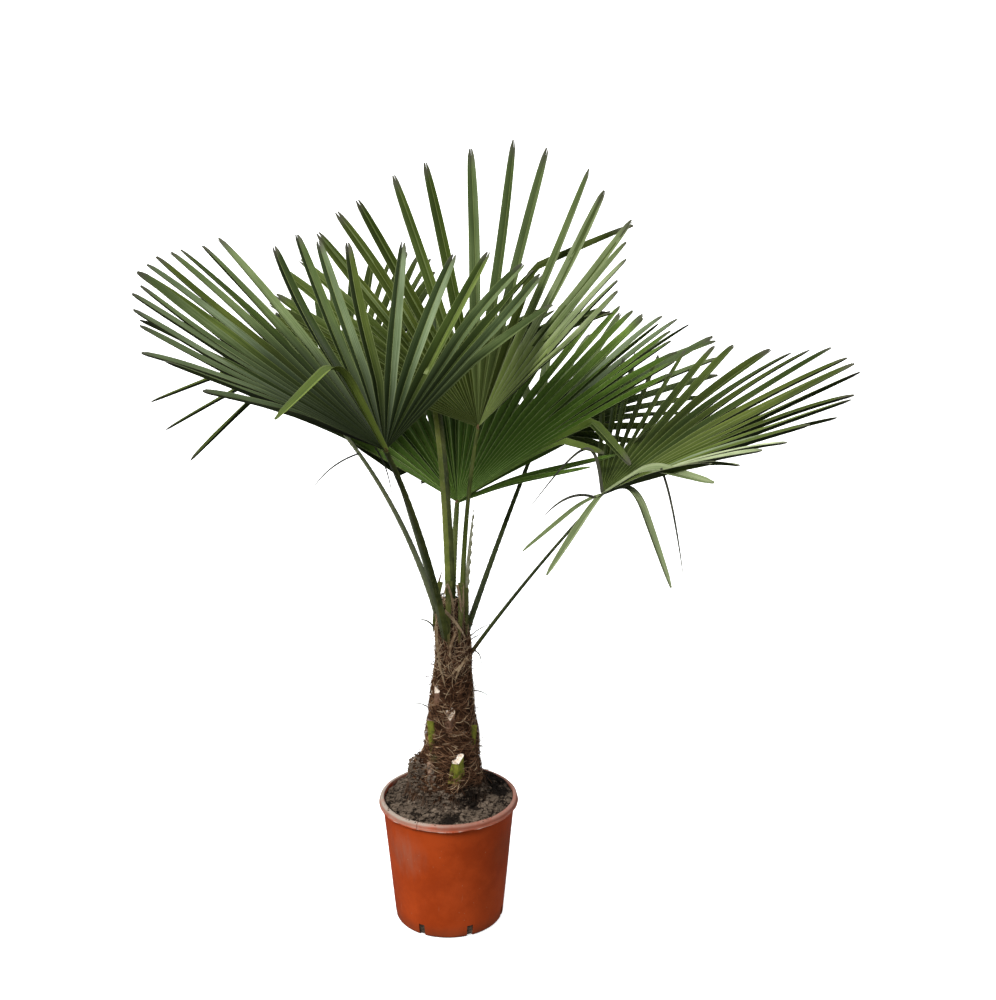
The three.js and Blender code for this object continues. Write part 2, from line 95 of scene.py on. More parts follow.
camera_data = bpy.data.cameras.new("camera")
camera_data.lens = FOCAL_LENGTH
camera_data.sensor_width = 36
camera = put_in_scene("camera", camera_data)
camera.location = CAMERA_PLACE
camera.rotation_euler = (math.radians(90 - CAMERA_PITCH), 0, 0)
bpy.context.scene.camera = camera
bpy.context.scene.view_settings.view_transform = "Standard"
print("camera at", CAMERA_PLACE)

# %% [markdown]
# ## Small helpers for shapes
#
# Every piece here ends the same way: its bmesh becomes an object, rides on the plant's one body,
# hides the plain solid it stands for, and gets smooth shading with crisp creases. Long thin
# things, from stalks to fibres, are all one closed bar whose points are moved onto a path.

# %% Helpers for shapes
def make_piece(name, bm, finishes, replaced=(), crease=32):
    """Turns a bmesh into a finished piece of the plant."""
    mesh = as_mesh(name, bm)
    for finish in finishes:
        mesh.materials.append(finish)
    mesh.shade_smooth()
    mesh.set_sharp_from_angle(angle=math.radians(crease))
    piece = put_in_scene(name, mesh)
    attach(piece, "root")
    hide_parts(*replaced)
    mesh.calc_loop_triangles()
    print(f"{name}: {len(mesh.loop_triangles)} triangles")
    return piece


def face_outwards(bm):
    """Points every face of a closed shape outwards."""
    bmesh.ops.recalc_face_normals(bm, faces=bm.faces)
    if bm.calc_volume(signed=True) < 0:
        bmesh.ops.reverse_faces(bm, faces=bm.faces)


def to_metres(bm):
    bmesh.ops.scale(bm, verts=bm.verts, vec=(MM, MM, MM))


def turned_outline(outline, steps, merge=1e-3):
    """Sweeps an outline, given as radius and height, round the upright axis."""
    bm = bmesh.new()
    corners = [bm.verts.new((radius, 0, height)) for radius, height in outline]
    edges = [bm.edges.new(pair) for pair in zip(corners, corners[1:])]
    bmesh.ops.spin(
        bm, geom=corners + edges, cent=(0, 0, 0), axis=(0, 0, 1), angle=math.tau, steps=steps,
        use_merge=True,
    )
    bmesh.ops.remove_doubles(bm, verts=bm.verts, dist=merge)
    return bm


def bar(sides, rings):
    """A closed round bar of radius 1 from z 0 to 1, with rings along it."""
    bm = bmesh.new()
    bmesh.ops.create_cone(bm, cap_ends=True, segments=sides, radius1=1, radius2=1, depth=1)
    long_edges = [e for e in bm.edges if abs(e.verts[0].co.z - e.verts[1].co.z) > 0.5]
    bmesh.ops.subdivide_edges(bm, edges=long_edges, cuts=rings - 1)
    bmesh.ops.translate(bm, verts=bm.verts, vec=(0, 0, 0.5))
    return bm


def direction(azimuth, elevation):
    """Unit vector; azimuth 0 is the viewer's right and 90 is away from the viewer."""
    a, e = math.radians(azimuth), math.radians(elevation)
    return Vector((math.cos(e) * math.cos(a), math.cos(e) * math.sin(a), math.sin(e)))


def lerp(low, high, share):
    return low + (high - low) * share


def ease(share):
    """A share from 0 to 1 with a soft start and end."""
    share = min(1.0, max(0.0, share))
    return share * share * (3 - 2 * share)


def between(stations, at, column=1):
    """Reads a value from a list of stations with straight steps between them."""
    i = 1
    while i < len(stations) - 1 and at > stations[i][0]:
        i += 1
    low, high = stations[i - 1], stations[i]
    share = min(1.0, max(0.0, (at - low[0]) / (high[0] - low[0])))
    return lerp(low[column], high[column], share)


def strewn(template, count, place):
    """Many copies of one small mesh in one bmesh; place(copy, point) moves their points."""
    bm = bmesh.new()
    for _ in range(count):
        bm.from_mesh(template)
    size = len(template.vertices)
    for i, vert in enumerate(bm.verts):
        vert.co = place(i // size, vert.co)
    return bm


# %% [markdown]
# ## Small helpers for finishes
#
# A finish is a few patterns that share the same building blocks: a noise, a smooth threshold and
# a mix of two colours. `Patterns` adds those to a node tree. Three effects turn up in more than
# one finish, so each is a shader node group: a mottle of two colours, dust that settles on what
# faces the sky, and the surface of a leaf blade.

# %% Helpers for finishes
def plain_finish(name, colour, roughness, shine=0.5):
    """A new material with one colour, and its shader and node tree ready for more."""
    finish = bpy.data.materials.new(name)
    finish.use_nodes = True
    shader = finish.node_tree.nodes["Principled BSDF"]
    shader.inputs["Base Color"].default_value = rgb(*colour)
    shader.inputs["Roughness"].default_value = roughness
    shader.inputs["Specular IOR Level"].default_value = shine
    return finish, finish.node_tree, shader


class Patterns:
    """Adds nodes to one tree, each from plain values or from other nodes' outputs."""

    def __init__(self, tree):
        self.tree = tree

    def add(self, kind, settings=(), values=(), output=0):
        made = self.tree.nodes.new(kind)
        for name, value in settings:
            setattr(made, name, value)
        self.feed(made, values)
        return made.outputs[output]

    def feed(self, made, values):
        """Gives a node its inputs: a link for another node's output, else the plain value."""
        for name, value in values:
            socket = made.inputs[name]
            if isinstance(value, bpy.types.NodeSocket):
                self.tree.links.new(value, socket)
            else:
                socket.default_value = rgb(*value) if socket.type == "RGBA" else value

    def here(self):
        return self.add("ShaderNodeTexCoord", output="Object")

    def stretched(self, vector, scale):
        return self.add("ShaderNodeMapping", values=[("Vector", vector), ("Scale", scale)])

    def noise(self, vector, scale, detail=4.0, roughness=0.6, distortion=0.0):
        values = [("Vector", vector), ("Scale", scale), ("Detail", detail)]
        values += [("Roughness", roughness), ("Distortion", distortion)]
        return self.add("ShaderNodeTexNoise", values=values)

    def cells(self, vector, scale):
        return self.add("ShaderNodeTexVoronoi", values=[("Vector", vector), ("Scale", scale)])

    def step(self, value, low, high, to_low=0.0, to_high=1.0):
        """0 under low, 1 over high, and smooth between them."""
        values = [("Value", value), ("From Min", low), ("From Max", high)]
        values += [("To Min", to_low), ("To Max", to_high)]
        return self.add("ShaderNodeMapRange", [("interpolation_type", "SMOOTHSTEP")], values)

    def math(self, operation, first, second=0.0):
        return self.add("ShaderNodeMath", [("operation", operation)], [(0, first), (1, second)])

    def times(self, first, second):
        return self.math("MULTIPLY", first, second)

    def plus(self, first, second):
        return self.math("ADD", first, second)

    def less(self, first, second):
        return self.math("SUBTRACT", first, second)

    def mix(self, share, first, second, how="MIX"):
        settings = [("data_type", "RGBA"), ("blend_type", how)]
        return self.add("ShaderNodeMix", settings, [(0, share), (6, first), (7, second)], 2)

    def parts(self, vector, axis):
        return self.add("ShaderNodeSeparateXYZ", values=[(0, vector)], output=axis)

    def from_axis(self, vector):
        """Distance from the pot's upright axis, in metres."""
        flat = self.stretched(vector, (1.0, 1.0, 0.0))
        return self.add("ShaderNodeVectorMath", [("operation", "LENGTH")], [(0, flat)], "Value")

    def bump(self, height, strength, distance):
        values = [("Height", height), ("Strength", strength), ("Distance", distance)]
        return self.add("ShaderNodeBump", values=values, output="Normal")

    def near(self, place, reach):
        """1 at a place on the plant, in metres, and 0 beyond its reach."""
        settings = [("operation", "DISTANCE")]
        values = [(0, self.here()), (1, place)]
        return self.step(self.add("ShaderNodeVectorMath", settings, values, "Value"), reach, 0.0)

    def use(self, effect, values, output):
        made = self.tree.nodes.new("ShaderNodeGroup")
        made.node_tree = effect
        self.feed(made, values)
        return [made.outputs[name] for name in output]

    def mottled(self, dark, light, scale):
        """A mottle of two colours, and its height."""
        values = [("Dark", dark), ("Light", light), ("Scale", scale)]
        return self.use(mottle, values, ["Colour", "Height"])

    def dress(self, tint, height, strength, distance, rough=None):
        """Wires a colour, a relief and, where it varies, a roughness to the tree's shader."""
        inputs = self.tree.nodes["Principled BSDF"].inputs
        self.tree.links.new(tint, inputs["Base Color"])
        self.tree.links.new(self.bump(height, strength, distance), inputs["Normal"])
        if rough:
            self.tree.links.new(rough, inputs["Roughness"])


def rgb(red, green, blue):
    return (red, green, blue, 1.0)


def shared_effect(name, inputs, outputs):
    """An empty shader node group with its named sockets, and the ends of its wiring."""
    effect = bpy.data.node_groups.new(name, "ShaderNodeTree")
    for label, kind, value in inputs:
        socket = effect.interface.new_socket(label, in_out="INPUT", socket_type=kind)
        socket.default_value = rgb(*value) if kind == COLOUR else value
    for label, kind in outputs:
        effect.interface.new_socket(label, in_out="OUTPUT", socket_type=kind)
    start = effect.nodes.new("NodeGroupInput")
    end = effect.nodes.new("NodeGroupOutput")
    return effect, start, end


# %% The mottle, dust and leaf surface effects
COLOUR, NUMBER = "NodeSocketColor", "NodeSocketFloat"

mottle, start, end = shared_effect(
    "mottle",
    [("Dark", COLOUR, (0, 0, 0)), ("Light", COLOUR, (1, 1, 1)), ("Scale", NUMBER, 20.0)],
    [("Colour", COLOUR), ("Height", NUMBER)],
)
p = Patterns(mottle)
speckled = p.noise(p.here(), start.outputs["Scale"], 6.0, 0.68)
share = p.step(speckled, 0.36, 0.66)
mottle.links.new(p.mix(share, start.outputs["Dark"], start.outputs["Light"]), end.inputs["Colour"])
mottle.links.new(speckled, end.inputs["Height"])

dust, start, end = shared_effect(
    "settled dust",
    [("Amount", NUMBER, 0.5), ("Scale", NUMBER, 60.0)],
    [("Mask", NUMBER)],
)
p = Patterns(dust)
facing = p.parts(p.add("ShaderNodeNewGeometry", output="Normal"), 2)
patches = p.step(p.noise(p.here(), start.outputs["Scale"], 5.0, 0.7), 0.3, 0.62)
settled = p.times(p.step(facing, -0.1, 0.75), p.math("MULTIPLY_ADD", patches, 0.7))
dust.links.new(p.times(settled, start.outputs["Amount"]), end.inputs["Mask"])

leaf_surface, start, end = shared_effect(
    "leaf surface",
    [
        ("Blade", COLOUR, (0.05, 0.08, 0.02)),
        ("Rib", COLOUR, (0.2, 0.24, 0.08)),
        ("Tip", COLOUR, (0.04, 0.035, 0.025)),
        ("Hub", COLOUR, (0.006, 0.011, 0.002)),
        ("Hub Shade", NUMBER, 0.5),
        ("Hub Reach", NUMBER, 0.5),
        ("Line Fade", NUMBER, 0.6),
    ],
    [("Colour", COLOUR), ("Roughness", NUMBER), ("Height", NUMBER)],
)
p = Patterns(leaf_surface)
plan = p.add("ShaderNodeUVMap", [("uv_map", "leaf")])
place, along = p.parts(plan, 0), p.parts(plan, 1)
turned = p.add("ShaderNodeUVMap", [("uv_map", "turned")])
fold = p.times(p.math("ABSOLUTE", p.less(p.math("FRACT", place), 0.5)), 2.0)
veins = p.noise(p.stretched(plan, (34.0, 1.3, 1.0)), 1.0, 2.0, 0.55)
clouds = p.noise(p.stretched(plan, (0.9, 3.0, 1.0)), 1.0, 3.0, 0.6)
pleated = p.times(p.less(fold, 0.6), p.step(along, 0.48, 0.2))
blade = start.outputs["Blade"]
# Painted light and shade: near the hub each groove of the pleats is darker and each crest lighter, and the
# half of a leaflet that faces the sun, the turned map's first value, is lighter while the other half is
# darker. The veins, the clouds and the turned map's second value vary the tone at random.
for share, low, high in [
    (p.plus(pleated, 0.6), (0.42, 0.47, 0.34), (1.38, 1.36, 1.42)),
    (p.step(veins, 0.32, 0.7), (0.62, 0.67, 0.54), (1.30, 1.24, 1.28)),
    (p.step(clouds, 0.3, 0.72), (0.72, 0.75, 0.66), (1.26, 1.22, 1.26)),
    (p.parts(turned, 0), (0.36, 0.42, 0.27), (1.40, 1.36, 1.55)),
    (p.parts(turned, 1), (0.62, 0.67, 0.50), (1.34, 1.30, 1.48)),
]:
    blade = p.mix(1.0, blade, p.mix(share, low, high), "MULTIPLY")
# Painted shade towards the hub, deep in the funnel of pleats: the blade takes on the dark hub colour there.
# Where a fan's hub colour is bright, it is painted light instead.
nearness = p.math("DIVIDE", along, start.outputs["Hub Reach"])
hub_light_and_shade = p.times(p.step(nearness, 1.0, 0.1), start.outputs["Hub Shade"])
blade = p.mix(hub_light_and_shade, blade, start.outputs["Hub"])
faded = p.less(1.0, p.times(hub_light_and_shade, start.outputs["Line Fade"]))
line = p.step(along, 0.05, 0.45, 0.20, 0.09)
rib = p.times(p.step(p.math("DIVIDE", fold, line), 1.0, 0.35), 0.62)
rib = p.times(rib, faded)
blade = p.mix(rib, blade, start.outputs["Rib"])
# The pale lines along the crests are partly the leaflets' own pale margins and partly a painted highlight
# where the crests catch the light.
margin = p.step(p.math("DIVIDE", p.less(1.0, fold), line), 0.8, 0.3)
margin = p.times(p.times(margin, 0.7), faded)
blade = p.mix(margin, blade, start.outputs["Rib"])
tip_wear_and_lip_glint = p.plus(along, p.times(p.less(clouds, 0.5), 0.16))
blade = p.mix(p.step(tip_wear_and_lip_glint, 0.90, 1.0, 0.0, 0.85), blade, start.outputs["Tip"])
leaf_surface.links.new(blade, end.inputs["Colour"])
leaf_surface.links.new(p.step(clouds, 0.25, 0.75, 0.36, 0.56), end.inputs["Roughness"])
leaf_surface.links.new(p.less(veins, rib), end.inputs["Height"])
print("effects:", [effect.name for effect in bpy.data.node_groups])

# %% [markdown]
# ## Light and floor
#
# The light in the photograph comes from a cloudy sky: bright overhead, weaker near the horizon,
# and with little thrown back from below. The world copies that with a gradient. One large, soft
# sun from the upper left gives the pleats and the pot their direction. The floor curves up into
# a round white backdrop. Only the camera sees it, so it doesn't bleach the plant from below.

# %% Sky and sun
SKY = {"zenith": 1.25, "horizon": 0.5, "below": 0.10}
SUN = {"strength": 2.9, "softness": 24, "turn": (31, -35)}

world = bpy.data.worlds.new("cloudy sky")
world.use_nodes = True
p = Patterns(world.node_tree)
height = p.parts(p.add("ShaderNodeTexCoord", output="Generated"), 2)
above = p.step(height, 0.0, 0.9, SKY["horizon"], SKY["zenith"])
strength = p.times(above, p.step(height, -0.12, 0.04, SKY["below"] / SKY["horizon"], 1.0))
sky = world.node_tree.nodes["Background"]
sky.inputs["Color"].default_value = rgb(0.965, 0.985, 1.0)
world.node_tree.links.new(strength, sky.inputs["Strength"])
bpy.context.scene.world = world

sun_data = bpy.data.lights.new("soft sun", "SUN")
sun_data.energy = SUN["strength"]
sun_data.angle = math.radians(SUN["softness"])
sun_data.color = (1.0, 0.985, 0.95)
sun = put_in_scene("soft sun", sun_data)
sun.rotation_euler = (math.radians(SUN["turn"][0]), math.radians(SUN["turn"][1]), 0)

# %% Floor
FLOOR = {"flat": 7.0, "bend": 5.0, "wall": 14.0, "steps": 96}

profile = [(0, 0), (FLOOR["flat"] / 2, 0), (FLOOR["flat"], 0)]
for step in range(1, 13):
    turn = math.radians(7.5 * step)
    out, rise = FLOOR["bend"] * math.sin(turn), FLOOR["bend"] * (1 - math.cos(turn))
    profile.append((FLOOR["flat"] + out, rise))
profile.append((FLOOR["flat"] + FLOOR["bend"], FLOOR["wall"]))
bm = turned_outline(profile, FLOOR["steps"], 1e-4)
bmesh.ops.recalc_face_normals(bm, faces=bm.faces)
floor = put_in_scene("floor", as_mesh("floor", bm))
floor.data.shade_smooth()
floor_finish, _, shader = plain_finish("pale floor", (0.92, 0.92, 0.92), 0.9, 0.1)
shader.inputs["Emission Color"].default_value = rgb(1, 1, 1)
shader.inputs["Emission Strength"].default_value = 0.62
floor.data.materials.append(floor_finish)
for ray in ("visible_diffuse", "visible_glossy", "visible_transmission", "visible_shadow"):
    setattr(floor, ray, False)
floor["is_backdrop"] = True
print("sky, sun and floor are up")

# %% [markdown]
# ## The pot
#
# The real pot is injection moulded: a thin wall that narrows towards a rounded foot, a rolled rim
# with a slightly wavy lower lip, and seven drain slots. A turned profile is the honest way to
# make it, so `spin` sweeps one closed outline round the axis. The slots and the crack in the rim
# are then cut out with a Boolean, which keeps their edges crisp.

# %% Pot shape
POT = {
    "height": 262.6, "rim_radius": 140, "rim_depth": 12, "wall_top": 133.5, "wall_foot": 110.5,
    "wall": 3.2, "floor": 4, "foot_round": 7, "slots": 7, "slot_width": 13, "slot_top": 26,
    "first_slot": 242, "wall_rows": 26, "steps": 160,
}
CRACK = {"azimuth": 245.5, "width": 1.1, "depth": 9, "foot": 247}


def pot_inside(height):
    share = min(height / (POT["height"] - POT["rim_depth"]), 1)
    return lerp(POT["wall_foot"], POT["wall_top"], share) - POT["wall"]


def pot_profile():
    """The outline of the pot's wall, as radius and height, from the middle of its underside."""
    top, under, foot = POT["height"], POT["height"] - POT["rim_depth"], POT["foot_round"]
    profile = [(0, 0), (40, 0), (80, 0)]
    for step in range(7):
        turn = math.radians(15 * step)
        profile.append((POT["wall_foot"] - foot * (1 - math.sin(turn)), foot * (1 - math.cos(turn))))
    rows = POT["wall_rows"]
    for row in range(1, rows + 1):
        share = row / rows
        profile.append((lerp(POT["wall_foot"], POT["wall_top"], share), lerp(foot, under, share)))
    profile += [(134.6, under + 1.2), (137, under + 0.9), (139.4, under - 0.8), (140.6, under - 0.6)]
    profile += [(140.7, under + 0.6), (139.6, under + 2.4), (139.2, under + 4.5), (139.0, top - 5)]
    profile += [(138.4, top - 3), (137.0, top - 1.2)]
    profile += [(134.8, top - 0.3), (132.6, top), (131, top - 0.8), (130.4, top - 2.8)]
    profile += [(130.3, top - 6), (130.3, under + 3), (pot_inside(under), under)]
    for row in range(1, 9):
        height = lerp(under, POT["floor"], row / 8)
        profile.append((pot_inside(height), height))
    profile += [(50, POT["floor"]), (0, POT["floor"])]
    return profile


def pot_unevenness(point):
    """How far the moulding strays from a true circle: outwards, and up or down."""
    x, y, z = point
    spot = Vector((x, y, z * 0.5))
    wall = 0.5 * noise.noise(spot / 60)
    on_lip = math.hypot(x, y) > 136 and z < POT["height"] - 8
    if on_lip:
        return wall + 0.9 * noise.noise(spot / 15), 1.8 * noise.noise(spot / 24 + UP * 9)
    return wall, 0.5 * noise.noise(spot / 30) if z > POT["height"] - 12 else 0


bm = turned_outline(pot_profile(), POT["steps"])
for vert in bm.verts:
    radius = math.hypot(vert.co.x, vert.co.y)
    if radius > 60 and vert.co.z > POT["foot_round"]:
        out, lift = pot_unevenness(vert.co)
        vert.co += Vector((vert.co.x, vert.co.y, 0)) * (out / radius) + UP * lift
face_outwards(bm)
to_metres(bm)

# %% Slots and crack, cut out of the pot
def cutter_box(bm, azimuth, radius, size, centre_height):
    """A box that stands on a circle round the pot, for cutting."""
    turn = Matrix.Rotation(math.radians(azimuth), 4, "Z")
    place = Matrix.Translation((radius * MM, 0, centre_height * MM))
    shape = Matrix.Diagonal((size[0] * MM, size[1] * MM, size[2] * MM, 1))
    return bmesh.ops.create_cube(bm, size=1, matrix=turn @ place @ shape)["verts"]


cutter_bm = bmesh.new()
for slot in range(POT["slots"]):
    azimuth = POT["first_slot"] + slot * 360 / POT["slots"]
    tall = POT["slot_top"] * 2
    verts = cutter_box(cutter_bm, azimuth, POT["wall_foot"], (21, POT["slot_width"], tall), 0)
    level = [e for v in verts for e in v.link_edges if abs(e.verts[0].co.z - e.verts[1].co.z) < 1e-4]
    lids = [e for e in set(level) if min(v.co.z for v in e.verts) > 0]
    bmesh.ops.bevel(
        cutter_bm, geom=lids, offset=1.2 * MM, affect="EDGES", segments=3, profile=0.5, material=-1
    )
cutter_box(
    cutter_bm, CRACK["azimuth"], POT["rim_radius"], (CRACK["depth"] * 2, CRACK["width"], 40),
    CRACK["foot"] + 20,
)
face_outwards(cutter_bm)
cutter = put_in_scene("cutter", as_mesh("cutter", cutter_bm))


def cut_away(bm, cutter):
    """The bmesh with the cutter's shape taken out of it."""
    whole = put_in_scene("uncut", as_mesh("uncut", bm))
    boolean = whole.modifiers.new("cut", "BOOLEAN")
    boolean.object = cutter
    boolean.operation = "DIFFERENCE"
    boolean.solver = "EXACT"
    result = bmesh.new()
    result.from_object(whole, bpy.context.evaluated_depsgraph_get())
    bpy.data.objects.remove(whole)
    bpy.data.objects.remove(cutter)
    return result


bm = cut_away(bm, cutter)

# %% [markdown]
# The plastic is a burnt orange with a soft shine. The photograph shows a grey scuff high on the
# left, faint upright scratches, pinkish-grey dirt dried onto the rim and a little earth washed
# down under it. Each of these is its own mask over the plain colour, so that each one can be
# made stronger or weaker by itself.

# %% Pot finish
pot_finish, tree, _ = plain_finish("terracotta plastic", (0.40, 0.055, 0.010), 0.42, 0.2)
p = Patterns(tree)
here = p.here()
tint, grain = p.mottled((0.345, 0.043, 0.006), (0.45, 0.062, 0.010), 9.0)
upright = p.stretched(here, (90.0, 90.0, 2.4))
scratches = p.step(p.noise(upright, 1.0, 3.0, 0.7), 0.66, 0.74)
tint = p.mix(p.times(scratches, 0.3), tint, (0.50, 0.20, 0.10))
rubbed = p.noise(p.stretched(here, (70.0, 70.0, 14.0)), 1.0, 6.0, 0.7)
scuffed = p.times(p.near((-0.085, -0.095, 0.18), 0.10), rubbed)
tint = p.mix(p.step(scuffed, 0.14, 0.66, 0.0, 0.5), tint, (0.33, 0.135, 0.085))
# A darker brown patch on the pot's right side.
dark_right_patch = p.times(p.near((0.115, -0.055, 0.175), 0.10), rubbed)
tint = p.mix(p.step(dark_right_patch, 0.16, 0.66, 0.0, 0.3), tint, (0.15, 0.055, 0.020))
specks = p.step(p.cells(here, 95.0), 0.10, 0.05)
specks = p.times(specks, p.step(p.noise(here, 11.0), 0.56, 0.62))
tint = p.mix(p.times(specks, 0.6), tint, (0.52, 0.33, 0.2))
RIM_FOOT, LIP_FOOT, LIP_TOP = 0.252, 0.2483, 0.2512
height = p.parts(here, 2)
foot_dirt = p.times(p.step(height, 0.035, 0.0), p.noise(here, 45.0, 6.0, 0.7))
tint = p.mix(p.times(foot_dirt, 0.9), tint, (0.09, 0.045, 0.025))
(rim_dust,) = p.use(dust, [("Amount", 0.95), ("Scale", 42.0)], ["Mask"])
on_rim = p.step(height, RIM_FOOT - 0.0025, RIM_FOOT + 0.0025)
leftwards = p.step(p.parts(here, 0), 0.04, -0.10, 0.35, 1.0)
rim_patches = p.step(p.noise(here, 30.0, 6.0, 0.72), 0.34, 0.6)
rim_film = p.times(p.times(on_rim, leftwards), rim_patches)
tint = p.mix(p.times(rim_film, 0.7), tint, (0.36, 0.22, 0.17))
dusty = p.times(p.times(rim_dust, on_rim), leftwards)
shaded = p.times(on_rim, p.step(leftwards, 0.8, 0.4, 0.0, 0.6))
tint = p.mix(shaded, tint, (0.21, 0.080, 0.052))
tint = p.mix(dusty, tint, (0.33, 0.27, 0.225))
# Painted highlight: a pale, broken line along the lower edge of the rim's lip, where it catches the light.
above_foot = p.step(height, LIP_FOOT - 0.0005, LIP_FOOT + 0.0005)
lip = p.times(above_foot, p.step(height, LIP_TOP + 0.0008, LIP_TOP - 0.0008))
lip = p.times(lip, p.step(p.from_axis(here), 0.1365, 0.1380))
tip_wear_and_lip_glint = p.times(lip, p.step(p.noise(here, 26.0, 5.0, 0.7), 0.42, 0.6))
tint = p.mix(p.times(tip_wear_and_lip_glint, 0.75), tint, (0.62, 0.45, 0.38))
gloss = p.step(p.noise(here, 14.0, 5.0, 0.65), 0.3, 0.7, 0.32, 0.5)
rough = p.plus(gloss, p.times(rim_film, 0.4))
relief = p.plus(p.times(grain, 0.4), p.times(scratches, -0.5))
p.dress(tint, relief, 0.25, 0.0006, rough)
make_piece("pot_shell", bm, [pot_finish], ["pot"], crease=40)

# %% [markdown]
# ## The potting soil
#
# The compost stands nearly level with the rim and is heaped up behind the trunk. It is crumbly,
# so relief of several sizes sits on one turned disc, and loose crumbs lie on top of it. The crumbs
# are deformed balls of only twenty faces each, because there are more than two thousand of them.
# Its finish reads a map of its own, which says how deep in a hollow each point lies, and paints
# shade into the hollows from it.

# %% Soil bed
SOIL = {
    "edge": 251, "heap": 10, "heap_azimuth": 110, "foot_radius": 84, "middle": 257.6,
    "rings": 84, "steps": 290, "floor": 4.3, "clearance": 0.3,
    "mound": {"reach": 24, "height": 22, "behind": 14, "azimuth": 70},
    "banked": {"azimuth": 50, "height": 8},
}


def soil_height(x, y):
    """Height of the soil's surface over a place inside the pot."""
    radius = math.hypot(x, y)
    side = pot_inside(SOIL["edge"]) - SOIL["clearance"]
    out = min(1.0, max(0.0, (radius - SOIL["foot_radius"]) / (side - SOIL["foot_radius"])))
    level = lerp(SOIL["middle"], SOIL["edge"], ease(out))
    towards_heap = math.cos(math.atan2(y, x) - math.radians(SOIL["heap_azimuth"]))
    level += SOIL["heap"] * max(0, towards_heap) * math.sin(math.pi * min(1, radius / side)) ** 0.6
    mound, banked, azimuth = SOIL["mound"], SOIL["banked"], math.atan2(y, x)
    from_trunk = max(0, math.hypot(x + 4, y) - 64)
    piled = mound["height"] + mound["behind"] * math.cos(azimuth - math.radians(mound["azimuth"]))
    level += piled * math.exp(-from_trunk / mound["reach"])
    level += banked["height"] * max(0, math.cos(azimuth - math.radians(banked["azimuth"]))) * out
    spot = Vector((x, y, 3))
    lumps = 4.0 * noise.noise(spot / 24) + 3.4 * noise.noise(spot / 11)
    cracks = noise.voronoi(spot / 7)[0]
    crumbs = 2.6 * (cracks[1] - cracks[0]) ** 0.6 - 1.4
    crumbs += 2.4 * noise.noise(spot / 5) + 1.8 * noise.noise(spot / 2.6)
    hollows = ease((1.2 - lumps - crumbs) / 4.2)
    return level + (lumps + crumbs) * (1 - 0.6 * ease((radius - side + 6) / 6)), hollows


side = pot_inside(SOIL["edge"]) - SOIL["clearance"]
profile = [(0, SOIL["floor"]), (pot_inside(SOIL["floor"]) - SOIL["clearance"], SOIL["floor"])]
for row in range(1, 10):
    height = lerp(SOIL["floor"], SOIL["edge"] - 6, row / 9)
    profile.append((pot_inside(height) - SOIL["clearance"], height))
profile += [(side * (1 - ring / SOIL["rings"]), SOIL["edge"]) for ring in range(SOIL["rings"] + 1)]
bm = turned_outline(profile, SOIL["steps"])
hollow = {}
for vert in bm.verts:
    hollow[vert.index] = 0.0
    if vert.co.z > SOIL["edge"] - 0.1:
        vert.co.z, hollow[vert.index] = soil_height(vert.co.x, vert.co.y)
earth_uv = bm.loops.layers.uv.new("earth")
for face in bm.faces:
    for loop in face.loops:
        loop[earth_uv].uv = (hollow[loop.vert.index], 0.45)
face_outwards(bm)
to_metres(bm)

# %% Soil finish
# Painted shadow: dark, patchy places on the earth where the trunk and the crown shade it, mostly to the
# right of and behind the trunk.
SHADOWED_SOIL_PLACES = [
    ((0.055, 0.03, 0.258), 0.075), ((0.006, -0.112, 0.256), 0.034), ((0.09, 0.085, 0.262), 0.08),
    ((0.040, -0.052, 0.272), 0.038), ((0.1, 0.01, 0.258), 0.035),
]


def soil_colours(name, dark, light, crust):
    """Crumbly earth, with painted shade in its hollows. Its own map says how deep in a hollow a point lies,
    and how dry it is.
    """
    finish, tree, _ = plain_finish(name, dark, 0.95, 0.1)
    p = Patterns(tree)
    here = p.here()
    tint, grain = p.mottled(dark, light, 150.0)
    dried = p.step(p.noise(here, 24.0, 5.0, 0.7), 0.34, 0.62)
    painted_shadow = 0.0
    for place, reach in SHADOWED_SOIL_PLACES:
        painted_shadow = p.plus(painted_shadow, p.near(place, reach))
    painted_shadow = p.times(painted_shadow, p.step(p.noise(here, 55.0, 5.0, 0.75), 0.30, 0.62, 0.0, 1.9))
    dried = p.times(dried, p.step(painted_shadow, 0.75, 0.15))
    dried = p.times(dried, p.step(p.noise(here, 210.0, 4.0, 0.7), 0.34, 0.56))
    earth = p.add("ShaderNodeUVMap", [("uv_map", "earth")])
    deep, dry = p.parts(earth, 0), p.parts(earth, 1)
    dried = p.times(dried, p.step(dry, 0.0, 1.0, 0.2, 1.6))
    dried = p.math("MINIMUM", p.times(dried, p.step(deep, 0.6, 0.1)), 1.0)
    tint = p.mix(dried, tint, crust)
    # Painted shade: the deeper a point lies in a hollow, the darker it is.
    tint = p.mix(p.times(deep, 0.85), tint, (0.008, 0.006, 0.004))
    # Painted shadow over the places listed above, without crust or dust.
    tint = p.mix(p.step(painted_shadow, 0.12, 0.9), tint, (0.010, 0.007, 0.005))
    (settled,) = p.use(dust, [("Amount", 0.35), ("Scale", 120.0)], ["Mask"])
    settled = p.times(settled, p.step(deep, 0.5, 0.1))
    tint = p.mix(p.times(settled, p.step(painted_shadow, 0.6, 0.1)), tint, crust)
    fine = p.noise(here, 620.0, 4.0, 0.7)
    p.dress(tint, p.plus(grain, p.times(fine, 0.5)), 0.7, 0.0022)
    return finish


soil_finish = soil_colours(
    "potting earth", (0.009, 0.006, 0.004), (0.050, 0.034, 0.023), (0.165, 0.126, 0.094)
)
make_piece("soil_bed", bm, [soil_finish], ["soil"], crease=60)

